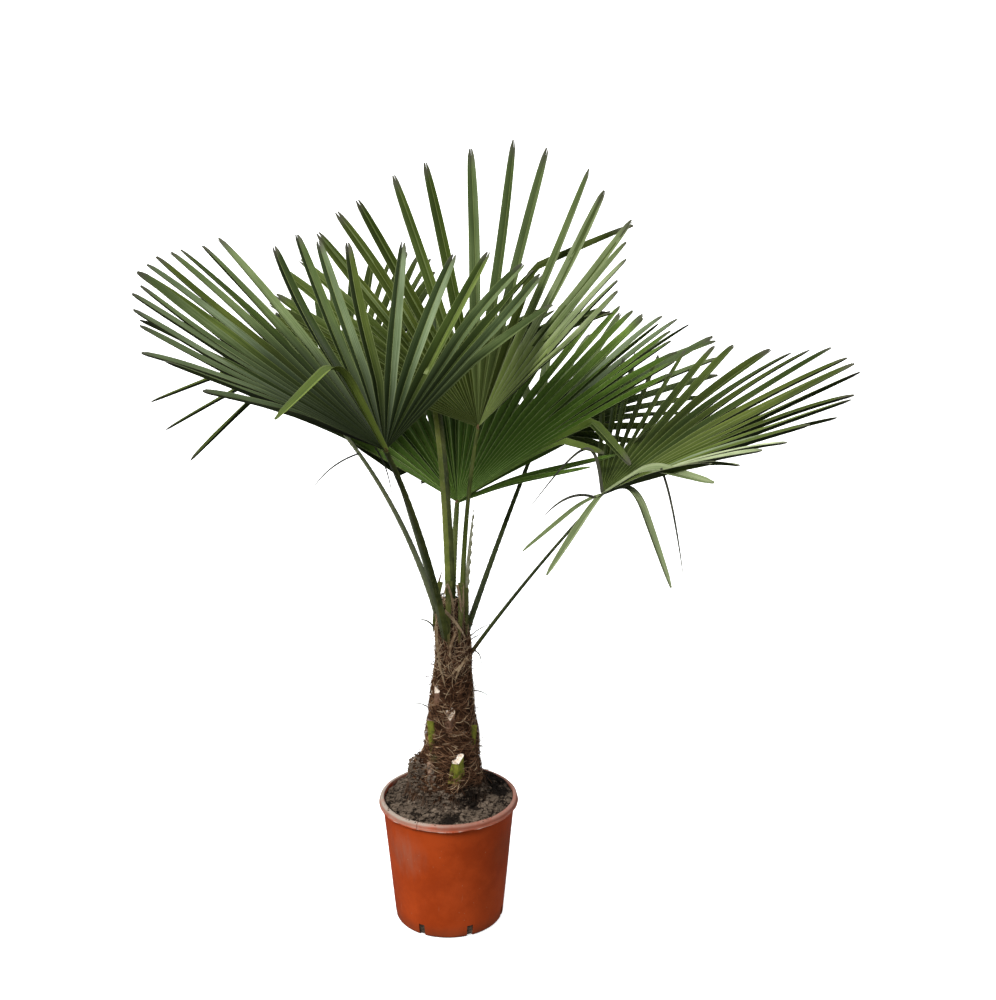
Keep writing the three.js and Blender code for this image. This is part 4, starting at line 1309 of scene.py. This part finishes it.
# %% Life in each leaflet: a little twist, bow and droop, the same on every run
def leaflet_life(frond_number, leaflet):
    """Chance differences between leaflets, and the lean that this one has in the photograph."""
    rng = random.Random(1000 * frond_number + leaflet)
    frond = FRONDS[frond_number]
    lean = [amount + rng.gauss(0, 4) for amount in frond["leans"].get(leaflet, (0, 0, 0))]
    return {
        "twist": math.radians(rng.gauss(0, 12)), "bow": rng.gauss(0, 3.5),
        "droop": abs(rng.gauss(0, 5)), "width": rng.uniform(0.94, 1.08), "lean": lean,
        "split": rng.uniform(0.3, 1.6), "tone": rng.random(), "flat": rng.uniform(0.75, 1.1),
    }


def place_on_fan(line, left, right, life, x, row):
    """Where a point of the flat sheet goes; x runs from -1 to 1 across its leaflet."""
    rows = LEAFLET["fused_rows"]
    if row <= rows:
        share = lerp(0.02, 1, row / rows)
        ridge = left if x < 0 else right
        fall = LEAFLET["fold"] * line["fused"] * line["spacing"] / 2 * share
        rise = LEAFLET["fold"] * ridge["fused"] * ridge["spacing"] / 2 * share
        keel = leaflet_point(line, line["fused"] * share, 0, -fall)
        crest = leaflet_point(ridge, ridge["fused"] * share, 0, rise)
        arch = line["inward"] * (0.9 * share * math.sin(math.pi * abs(x)))
        return keel.lerp(crest, abs(x)) + arch
    free = (row - rows) / LEAFLET["free_rows"]
    sideways, up, longer = [0, 0, 0] if line["bend"] else life["lean"]
    swayed = free ** 1.7
    distance = lerp(line["fused"], line["reach"], free) + longer * free
    start = line["spacing"] * line["fused"]
    own = LEAFLET["width"] * between(LEAFLET["outline"], free) * life["width"]
    width = lerp(start, own, ease(free / LEAFLET["widens"]))
    width = min(width, 0.97 * distance * line["spacing"])
    width *= lerp(1.0, line["slim"], ease(free / LEAFLET["slims"]))
    flatter = lerp(1.0, LEAFLET["flat"] * life["flat"], ease(free / LEAFLET["flattens"]))
    fold = LEAFLET["fold"] * flatter * width
    lift = fold * (abs(x) - 0.5) + 0.05 * width * math.sin(math.pi * abs(x))
    aside = x * width / 2
    twist = life["twist"] * ease(free * 1.2)
    turned = aside * math.cos(twist) - lift * math.sin(twist) + sideways * swayed
    lifted = aside * math.sin(twist) + lift * math.cos(twist) + up * swayed
    place = leaflet_point(line, distance, turned + life["bow"] * math.sin(math.pi * free), lifted)
    place.z -= life["droop"] * free ** 3
    return place


# %% [markdown]
# The leaves are not one green. The colours differ from leaflet to leaflet, so plain base colours are
# dealt out by leaflet. They are partly tone that differs at random and partly painted light: pale
# sheen tones are a painted reflection of the sky, and brighter and darker tones stand in for how each
# leaflet faces the light. The veins, the paler midrib and the worn brown tip come from the shared
# leaf surface effect, which reads how far across and how far along its leaflet a point lies. That
# effect also paints shade into the grooves and round the hub, and light onto the half of each
# leaflet that faces the sun.

# %% Leaf finishes
# Base colours of the leaflets, partly tone that differs at random and partly painted light: sheen and light
# are a painted reflection of the sky on the waxy upper side, fresh, lush and bright are partly painted light
# shining through the leaf, and pale partly lifts leaflets that lie in shade.
TONES = {
    "deep": (0.026, 0.044, 0.006), "olive": (0.047, 0.066, 0.009), "mid": (0.066, 0.095, 0.017),
    "grey": (0.084, 0.118, 0.040), "sheen": (0.112, 0.150, 0.074), "fresh": (0.074, 0.138, 0.018),
    "lush": (0.092, 0.168, 0.022), "bright": (0.118, 0.195, 0.032),
    "stray": (0.140, 0.190, 0.032), "light": (0.146, 0.190, 0.094),
    "pale": (0.225, 0.275, 0.135), "under": (0.112, 0.148, 0.050),
}
# Paler lines for some tones; on fresh, lush and bright leaflets they are partly a painted highlight on the
# crests.
RIBS = {
    "pale": (0.36, 0.39, 0.24), "bright": (0.44, 0.56, 0.22), "fresh": (0.40, 0.54, 0.20),
    "lush": (0.42, 0.55, 0.20),
}
RIB, TIP, PAINTED_HUB_SHADE = (0.200, 0.238, 0.088), (0.078, 0.074, 0.056), (0.006, 0.011, 0.001)
leaf_finishes = {}


def leaf_finish(tone, shade, hub=PAINTED_HUB_SHADE, line_fade=0.6, hub_reach=0.5):
    """The finish of a leaflet in one tone; towards its hub it takes on a painted hub colour, which is
    painted shade when dark and painted light when bright.
    """
    key = f"{tone} leaf {round(shade * 100)}"
    if key in leaf_finishes:
        return leaf_finishes[key]
    finish, tree, shader = plain_finish(key, TONES[tone], 0.42, 0.30)
    shader.inputs["IOR"].default_value = 1.22
    p = Patterns(tree)
    values = [("Blade", TONES[tone]), ("Rib", RIBS.get(tone, RIB))]
    values += [("Tip", TIP), ("Hub", hub)]
    values += [("Hub Shade", shade), ("Line Fade", line_fade), ("Hub Reach", hub_reach)]
    tint, rough, height = p.use(leaf_surface, values, ["Colour", "Roughness", "Height"])
    p.dress(tint, height, 0.35, 0.0006, rough)
    leaf_finishes[key] = finish
    return finish


# %% Torn leaflets that hang from the hub
def eased_path(points, share, rounding):
    """A place along two straight runs whose corner is rounded off."""
    first, second = points[1] - points[0], points[2] - points[1]
    length = first.length + second.length
    distance, corner = share * length, first.length
    radius = min(rounding, 0.9 * first.length, 0.9 * second.length)
    if abs(distance - corner) < radius:
        t = (distance - corner + radius) / (2 * radius)
        start = points[1] - first.normalized() * radius
        end = points[1] + second.normalized() * radius
        return start.lerp(points[1], t).lerp(points[1].lerp(end, t), t)
    if distance < corner:
        return points[0].lerp(points[1], distance / corner)
    return points[1].lerp(points[2], (distance - corner) / second.length)


STRAY = {"columns": 6, "rows": 30, "fold": 0.3, "tip": 0.93, "rounding": 60, "shade": 0.1}


def add_stray(bm, frond, stray, maps, finish):
    """A free strap along its own bent path, folded like the other leaflets."""
    columns, rows, rounding = STRAY["columns"], STRAY["rows"], STRAY["rounding"]
    made = bmesh.ops.create_grid(bm, x_segments=columns, y_segments=rows, size=1)["verts"]
    points = [Vector(frond["hub"]), Vector(stray["knee"]), Vector(stray["tip"])]
    faces = {face for vert in made for face in vert.link_faces}
    for face in faces:
        face.material_index = finish
        half = 1 if face.calc_center_median().x > 0 else 0
        for loop in face.loops:
            loop[maps[0]].uv = ((loop.vert.co.x + 1) / 2, 0.3 + 0.32 * (loop.vert.co.y + 1))
            loop[maps[1]].uv = (0.9 - 0.6 * half, 0.5)
    for vert in made:
        x, share = vert.co.x, (vert.co.y + 1) / 2
        centre = eased_path(points, share, rounding)
        ahead = eased_path(points, min(share + 0.02, 1), rounding)
        behind = eased_path(points, max(share - 0.02, 0), rounding)
        along = (ahead - behind).normalized()
        across = (points[2] - points[0]).cross(UP).normalized()
        across = (across - along * across.dot(along)).normalized()
        across = Matrix.Rotation(math.radians(stray.get("roll", 0)), 3, along) @ across
        width = stray["width"] * (0.35 + 0.65 * math.sin(math.pi * (0.1 + 0.83 * share)))
        if share > STRAY["tip"]:
            width *= 1 - 0.5 * (share - STRAY["tip"]) / (1 - STRAY["tip"])
        lift = STRAY["fold"] * width * (abs(x) - 0.5)
        vert.co = centre + across * (x * width / 2) + across.cross(along) * lift
    return faces


# %% Fans of leaflets
# The direction towards the sun, used for the painted light and shade on the halves of each leaflet.
TO_SUN = Vector((-0.49, -0.52, 0.70))


def sunny_share(line, half):
    """How much one half of a folded leaflet faces the light, from 0 to 1."""
    return min(1.0, max(0.0, 0.5 - half * 0.95 * line["across"].dot(TO_SUN)))


def make_fan(number, frond):
    """One whole leaf blade, as a thin closed sheet."""
    columns = LEAFLET["columns"]
    rows = LEAFLET["fused_rows"] + LEAFLET["free_rows"]
    count = frond["leaflets"]
    lines = [leaflet_line(frond, place) for place in range(count)]
    ridges = [leaflet_line(frond, place - 0.5) for place in range(count + 1)]
    lives = [leaflet_life(number, place) for place in range(count)]
    bm = bmesh.new()
    bmesh.ops.create_grid(bm, x_segments=count * columns, y_segments=rows, size=1)
    for vert in bm.verts:
        vert.co.x = (vert.co.x + 1) / 2 * count
        vert.co.y = (vert.co.y + 1) / 2 * rows
    # The turned map holds the painted light: how much this half of the leaflet faces the sun, then the
    # leaflet's random tone.
    uv, turned = bm.loops.layers.uv.new("leaf"), bm.loops.layers.uv.new("turned")
    owner = bm.faces.layers.int.new("leaflet")
    for face in bm.faces:
        place = face.calc_center_median().x
        face[owner] = leaflet = int(place)
        half = 1 if place % 1 > 0.5 else -1
        for loop in face.loops:
            loop[uv].uv = (loop.vert.co.x, loop.vert.co.y / rows)
            loop[turned].uv = (sunny_share(lines[leaflet], half), lives[leaflet]["tone"])
    cuts = []
    for edge in bm.edges:
        (x, low), (other, high) = [v.co.xy for v in edge.verts]
        start = min(low, high) + 0.01
        if abs(x - other) > 0.01:
            continue
        between_leaflets = abs(x - round(x)) < 0.01 and start > LEAFLET["fused_rows"]
        in_tip = abs(x % 1 - 0.5) < 0.01 and start > rows - LEAFLET["split_rows"]
        if between_leaflets and 0.5 < x < count - 0.5 or in_tip:
            cuts.append(edge)
    bmesh.ops.split_edges(bm, edges=cuts)
    moves = []
    for vert in bm.verts:
        middle = sum(face.calc_center_median().x for face in vert.link_faces) / len(vert.link_faces)
        leaflet = min(count - 1, int(middle + 1e-4))
        x, row = 2 * (vert.co.x - leaflet) - 1, vert.co.y
        line, life = lines[leaflet], lives[leaflet]
        place = place_on_fan(line, ridges[leaflet], ridges[leaflet + 1], life, x, row)
        end = max(0.0, row - rows + LEAFLET["split_rows"]) / LEAFLET["split_rows"]
        half = math.copysign(1, middle - leaflet - 0.5)
        place += line["across"] * (half * life["split"] * end * (1 - 0.4 * abs(x)))
        moves.append((vert, place))
    for vert, place in moves:
        vert.co = place
    names = []
    for leaflet in range(count):
        tones = frond["tones"]
        place = (leaflet + 3 * lives[leaflet]["tone"] - 1) / count
        names.append(tones[min(len(tones) - 1, max(0, int(place * len(tones))))])
    for bend in frond["bent"]:
        names[bend["leaflet"]] = bend.get("tone", names[bend["leaflet"]])
    stray_tones = [stray["tone"] for stray in frond["strays"]]
    used = sorted(set(names) | set(stray_tones) | {"under"})
    stray_faces = set()
    for stray in frond["strays"]:
        stray_faces |= add_stray(bm, frond, stray, (uv, turned), used.index(stray["tone"]))
    for face in stray_faces:
        face[owner] = -1
    bmesh.ops.solidify(bm, geom=list(bm.faces), thickness=LEAFLET["thickness"])
    face_outwards(bm)
    bm.normal_update()
    for face in bm.faces:
        leaflet = face[owner]
        if leaflet < 0:
            continue
        upper = face.normal.dot(lines[leaflet]["inward"]) > 0
        face.material_index = used.index(names[leaflet] if upper else "under")
    to_metres(bm)
    finishes = []
    for tone in used:
        if tone in stray_tones:
            finishes.append(leaf_finish(tone, STRAY["shade"]))
        else:
            finishes.append(leaf_finish(tone, *frond["tone_looks"].get(tone, frond["look"])))
    name = frond["name"]
    return make_piece(f"fan_{name}", bm, finishes, [f"frond_{name}"], crease=30)


for number, frond in enumerate(FRONDS):
    make_fan(number, frond)

# %% [markdown]
# ## The leaf stalks
#
# Each stalk is a long limb, flat on top and round below, with fine teeth on both edges. It bows
# out of the crown along a curve with one bend in it. The end widens into a small brown tongue
# where the pleats meet.

# %% Stalk finishes
def limb_finish(name, dark, light, edge, brown_below):
    """A green stalk with paler streaks, which is brown below a height given in metres."""
    finish, tree, _ = plain_finish(name, dark, 0.45, 0.25)
    p = Patterns(tree)
    here = p.here()
    tint, grain = p.mottled(dark, light, 16.0)
    streaks = p.noise(p.stretched(here, (240.0, 240.0, 9.0)), 1.0, 4.0, 0.65)
    tint = p.mix(p.step(streaks, 0.5, 0.72), tint, edge)
    specks = p.times(p.step(p.cells(here, 260.0), 0.20, 0.08), 0.5)
    tint = p.mix(specks, tint, (0.12, 0.10, 0.05))
    sheath = p.plus(p.parts(here, 2), p.times(p.noise(here, 60.0), 0.05))
    tint = p.mix(p.step(sheath, brown_below + 0.05, brown_below), tint, (0.10, 0.052, 0.028))
    p.dress(tint, streaks, 0.4, 0.0007, p.step(grain, 0.3, 0.7, 0.36, 0.55))
    return finish


LIMB_LOOKS = {
    "dark limb": [(0.024, 0.036, 0.008), (0.060, 0.080, 0.020), (0.085, 0.100, 0.035), 0.585],
    "olive limb": [(0.040, 0.052, 0.010), (0.100, 0.115, 0.026), (0.13, 0.14, 0.045), 0.585],
    "grey limb": [(0.065, 0.082, 0.036), (0.130, 0.145, 0.075), (0.16, 0.16, 0.09), 0.60],
    "green limb": [(0.070, 0.095, 0.014), (0.130, 0.160, 0.030), (0.16, 0.175, 0.05), 0.645],
    "yellow limb": [(0.140, 0.178, 0.028), (0.245, 0.275, 0.058), (0.24, 0.25, 0.09), 0.645],
    "pale edge": [(0.22, 0.21, 0.12), (0.38, 0.36, 0.24), (0.30, 0.25, 0.15), 0.56],
}
limb_finishes = {name: limb_finish(name, *look) for name, look in LIMB_LOOKS.items()}
tongue_finish = stub_finish(
    "brown tongue", (0.09, 0.05, 0.02), (0.22, 0.14, 0.06), (0.06, 0.03, 0.015)
)

# %% Stalks
# The finishes that one side of a stalk can have besides its own; the olive one on a shaded side is
# painted shade
SIDE_LOOKS = ["pale edge", "grey limb", "olive limb"]
STALK = {
    "sides": 16, "rings": 90, "tooth_pitch": 7.5, "tooth": 0.7, "toothed": 0.93, "tongue": (13, 9, 5),
    # how far aside, as a share of half the width, one side's look and the edge's begin
    "side": 0.15, "edge": 0.9, "flat_top": 0.55,
}


def bow_point(frond, share):
    """A place on the stalk's bowed middle line, and the way it runs there."""
    foot, hub = Vector(frond["foot"]), Vector(frond["hub"])
    reach = hub - foot
    bow = foot + Vector((reach.x * frond["lean"], reach.y * frond["lean"], reach.z * frond["rise"]))
    first, second = foot.lerp(bow, share), bow.lerp(hub, share)
    return first.lerp(second, share), (second - first).normalized()


def make_stalk(frond):
    outward = Vector(frond["hub"]) - Vector(frond["foot"])
    outward.z = 0
    outward.normalize()
    across = Vector((-outward.y, outward.x, 0))
    length = (Vector(frond["hub"]) - Vector(frond["foot"])).length
    bm = bar(STALK["sides"], STALK["rings"])
    for face in bm.faces:
        aside = face.calc_center_median().x
        if aside * frond["pale_edge"] > STALK["side"]:
            on_edge = aside * frond["pale_edge"] > STALK["edge"]
            face.material_index = 2 + SIDE_LOOKS.index("pale edge" if on_edge else "grey limb")
        # Painted shade: the stalk's shaded side takes the darker olive finish.
        if aside * frond["shaded_side"] > STALK["side"]:
            face.material_index = 2 + SIDE_LOOKS.index("olive limb")
    for vert in bm.verts:
        x, y, share = vert.co
        share = lerp(-0.03, 0.992, share)
        centre, along = bow_point(frond, max(share, 0))
        if share < 0:
            centre += along * (share * length)
        normal = along.cross(across)
        swollen = max(0, 1 - share) ** 1.6
        width = lerp(frond["to"][0], frond["from"][0], swollen)
        depth = lerp(frond["to"][1], frond["from"][1], swollen)
        saw = (share * length / STALK["tooth_pitch"]) % 1
        tooth = STALK["tooth"] * saw * (abs(x) > STALK["edge"]) * (share < STALK["toothed"])
        upper = STALK["flat_top"] if y > 0 else 1.0
        sideways = x * width / 2 + math.copysign(tooth, x)
        vert.co = centre + across * sideways + normal * (y * upper * depth / 2)
    blade_side = fan_frame(frond)[0]
    hub = Vector(frond["hub"])
    _, along = bow_point(frond, 1)
    tongue = bmesh.ops.create_icosphere(bm, subdivisions=3, radius=1)["verts"]
    long, wide, high = STALK["tongue"]
    for vert in tongue:
        x, y, z = vert.co
        pointed = 1 - 0.35 * max(0, x)
        place = hub - along * 2 + along * (x * long * 0.55) + across * (y * wide * 0.5 * pointed)
        vert.co = place + blade_side * (z * high * 0.5 + 0.5)
        for face in vert.link_faces:
            face.material_index = 1
    face_outwards(bm)
    to_metres(bm)
    finishes = [limb_finishes[look] for look in SIDE_LOOKS]
    finishes = [limb_finishes[frond["limb"]], tongue_finish, *finishes]
    name = frond["name"]
    return make_piece(f"limb_{name}", bm, finishes, [f"stalk_{name}"], crease=45)


for frond in FRONDS:
    make_stalk(frond)

# %% [markdown]
# ## The crown's dry bits
#
# Between the stalks stand the torn sheaths of the youngest leaves: thin tan straps that curl as
# they dry. One folded new leaf is still pale, with a crimped edge. A few threads have peeled off
# the leaflets' edges and hang in the air below them, each held at its upper end.

# %% Sheath straps, spear and threads
dry_finish = fibre_finish(
    "dry sheath", (0.16, 0.10, 0.055), (0.34, 0.25, 0.155), (0.42, 0.34, 0.24), 70.0
)


def strap_bmesh(points, width, depth, sides=6, rings=24, crimp=0.0):
    """A flat strap along a smooth line through four points, thinner at its tip."""
    a, b, c, d = [Vector(point) for point in points]
    bm = bar(sides, rings)

    def line(t):
        first, second, third = a.lerp(b, t), b.lerp(c, t), c.lerp(d, t)
        return first.lerp(second, t).lerp(second.lerp(third, t), t)

    facing = Vector((0, -1, 0.2))
    for vert in bm.verts:
        x, y, share = vert.co
        along = (line(min(share + 0.02, 1)) - line(max(share - 0.02, 0))).normalized()
        across = along.cross(facing).normalized()
        slim = 1 - 0.8 * share ** 2.5
        wave = crimp * math.sin(share * 70) * (x > 0.3)
        place = line(share) + across * (x * width / 2 * slim + wave)
        vert.co = (place + across.cross(along) * (y * depth / 2 * slim)) * MM
    face_outwards(bm)
    return bm


def joined(shapes):
    """Several bmeshes as one."""
    whole = bmesh.new()
    for shape in shapes:
        whole.from_mesh(as_mesh("shape", shape))
    return whole


SHEATHS = [
    ([(-3, -36, 666), (16, -39, 648), (28, -40, 632), (38, -37, 608)], 7, 1.2),
    ([(4, -26, 712), (13, -28, 690), (14, -34, 672), (15, -36, 648)], 5, 1.0),
    ([(7, -22, 690), (5, -24, 738), (-3, -26, 712), (-8, -30, 668)], 4, 1.0),
    ([(21, -16, 712), (26, -20, 690), (29, -27, 668), (31, -30, 640)], 6, 1.0),
    ([(-17, -38, 566), (-12, -42, 547), (-7, -43, 530), (-3, -42, 512)], 5, 1.0),
    ([(-20, -34, 634), (-20, -40, 605), (-16, -42, 581), (-12, -40, 552)], 8, 1.2),
    ([(42, -30, 565), (27, -42, 556), (14, -44, 541), (0, -42, 528)], 5, 1.0),
    ([(37, -34, 566), (26, -42, 552), (20, -43, 540), (17, -42, 524)], 6, 1.0),
    ([(20, -30, 622), (8, -42, 600), (2, -42, 585), (10, -42, 566)], 6, 1.0),
    ([(30, -18, 600), (34, -26, 640), (32, -26, 690), (34, -20, 716)], 6, 1.0),
    ([(36, 10, 600), (40, 14, 640), (38, 16, 690), (32, 18, 724)], 8, 1.2),
    ([(-20, 14, 600), (-26, 22, 650), (-22, 24, 690), (-10, 22, 726)], 9, 1.2),
    ([(10, 30, 600), (10, 38, 650), (6, 36, 690), (2, 30, 720)], 9, 1.2),
    ([(-24, 22, 560), (-10, 42, 580), (10, 44, 600), (24, 34, 620)], 6, 1.0),
    ([(30, 26, 540), (14, 44, 556), (-6, 44, 580), (-22, 30, 600)], 6, 1.0),
]
bm = joined([strap_bmesh(points, width, depth) for points, width, depth in SHEATHS])
make_piece("dry_sheaths", bm, [dry_finish], crease=70)

GREEN_SHEATHS = [
    ([(6, -16, 720), (4, -26, 680), (3, -35, 640), (5, -38, 588)], 14, 2.6),
    ([(28, -10, 715), (29, -22, 680), (28, -33, 640), (24, -37, 600)], 13, 2.6),
    ([(38, 2, 700), (40, -8, 670), (40, -16, 640), (38, -20, 610)], 10, 2.4),
    ([(-12, 10, 710), (-20, 6, 680), (-25, 2, 640), (-27, 0, 610)], 12, 2.4),
    ([(8, 24, 710), (10, 31, 675), (10, 36, 640), (10, 38, 600)], 14, 2.6),
]
young_finish = limb_finish(
    "young sheath", (0.060, 0.072, 0.012), (0.150, 0.160, 0.030), (0.21, 0.17, 0.075), 0.61
)
bm = joined([strap_bmesh(points, width, depth) for points, width, depth in GREEN_SHEATHS])
make_piece("green_sheaths", bm, [young_finish], crease=70)

spear_finish = stub_finish(
    "pale new leaf", (0.30, 0.29, 0.16), (0.55, 0.55, 0.40), (0.20, 0.19, 0.08)
)
spear = strap_bmesh([(34, 18, 640), (40, 21, 720), (46, 25, 790), (53, 30, 850)], 10, 4, 10, 60, 1.3)
make_piece("new_leaf", spear, [spear_finish], ["spear_leaf"], crease=40)

THREADS = [
    ([(382, -236, 996), (398, -246, 960), (412, -253, 885), (424, -260, 806)], 4.6),
    ([(-150, -140, 1000), (-185, -158, 992), (-212, -172, 972), (-231, -180, 943)], 3.2),
    ([(-112, -235, 1032), (-104, -205, 1010), (-92, -200, 985), (-86, -200, 930)], 3.0),
    ([(296, -40, 902), (283, -32, 1012), (271, -28, 1022), (163, -20, 871)], 6.5),
    ([(284, -44, 893), (245, -66, 915), (210, -75, 895), (186, -80, 867)], 5.5),
    ([(-18, -24, 618), (-30, -24, 640), (-42, -22, 646), (-54, -20, 641)], 3.6),
    ([(43, -4, 600), (61, -2, 618), (76, 0, 624), (93, 0, 628)], 2.2),
    ([(50, -5, 489), (66, -5, 488), (76, -5, 484), (87, -5, 470)], 2.2),
    ([(-34, -5, 448), (-48, -5, 462), (-58, -5, 463), (-72, -5, 459)], 2.2),
    ([(46, -2, 572), (66, 0, 572), (66, 0, 556), (68, 0, 536)], 2.6),
    ([(44, -4, 594), (56, 0, 600), (62, 0, 604), (68, 0, 606)], 2.2),
]
thread_finish = limb_finish(
    "peeled thread", (0.028, 0.030, 0.020), (0.065, 0.066, 0.045), (0.10, 0.095, 0.07), 0.3
)
bm = joined([strap_bmesh(points, width, 0.8, 4, 20) for points, width in THREADS])
make_piece("peeled_threads", bm, [thread_finish], crease=60)

# %% [markdown]
# ## Last checks
#
# The dressed plant must stay the size of the solid model. For each axis, the script prints how far
# the ends of the dressed plant's box lie from the solid model's.

# %% Sizes
DRESSED_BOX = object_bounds()
for axis, name in enumerate("xyz"):
    low, high = DRESSED_BOX[0][axis] - CAD_BOX[0][axis], DRESSED_BOX[1][axis] - CAD_BOX[1][axis]
    print(f"{name}: low end {low * 1000:+.1f} mm, high end {high * 1000:+.1f} mm")
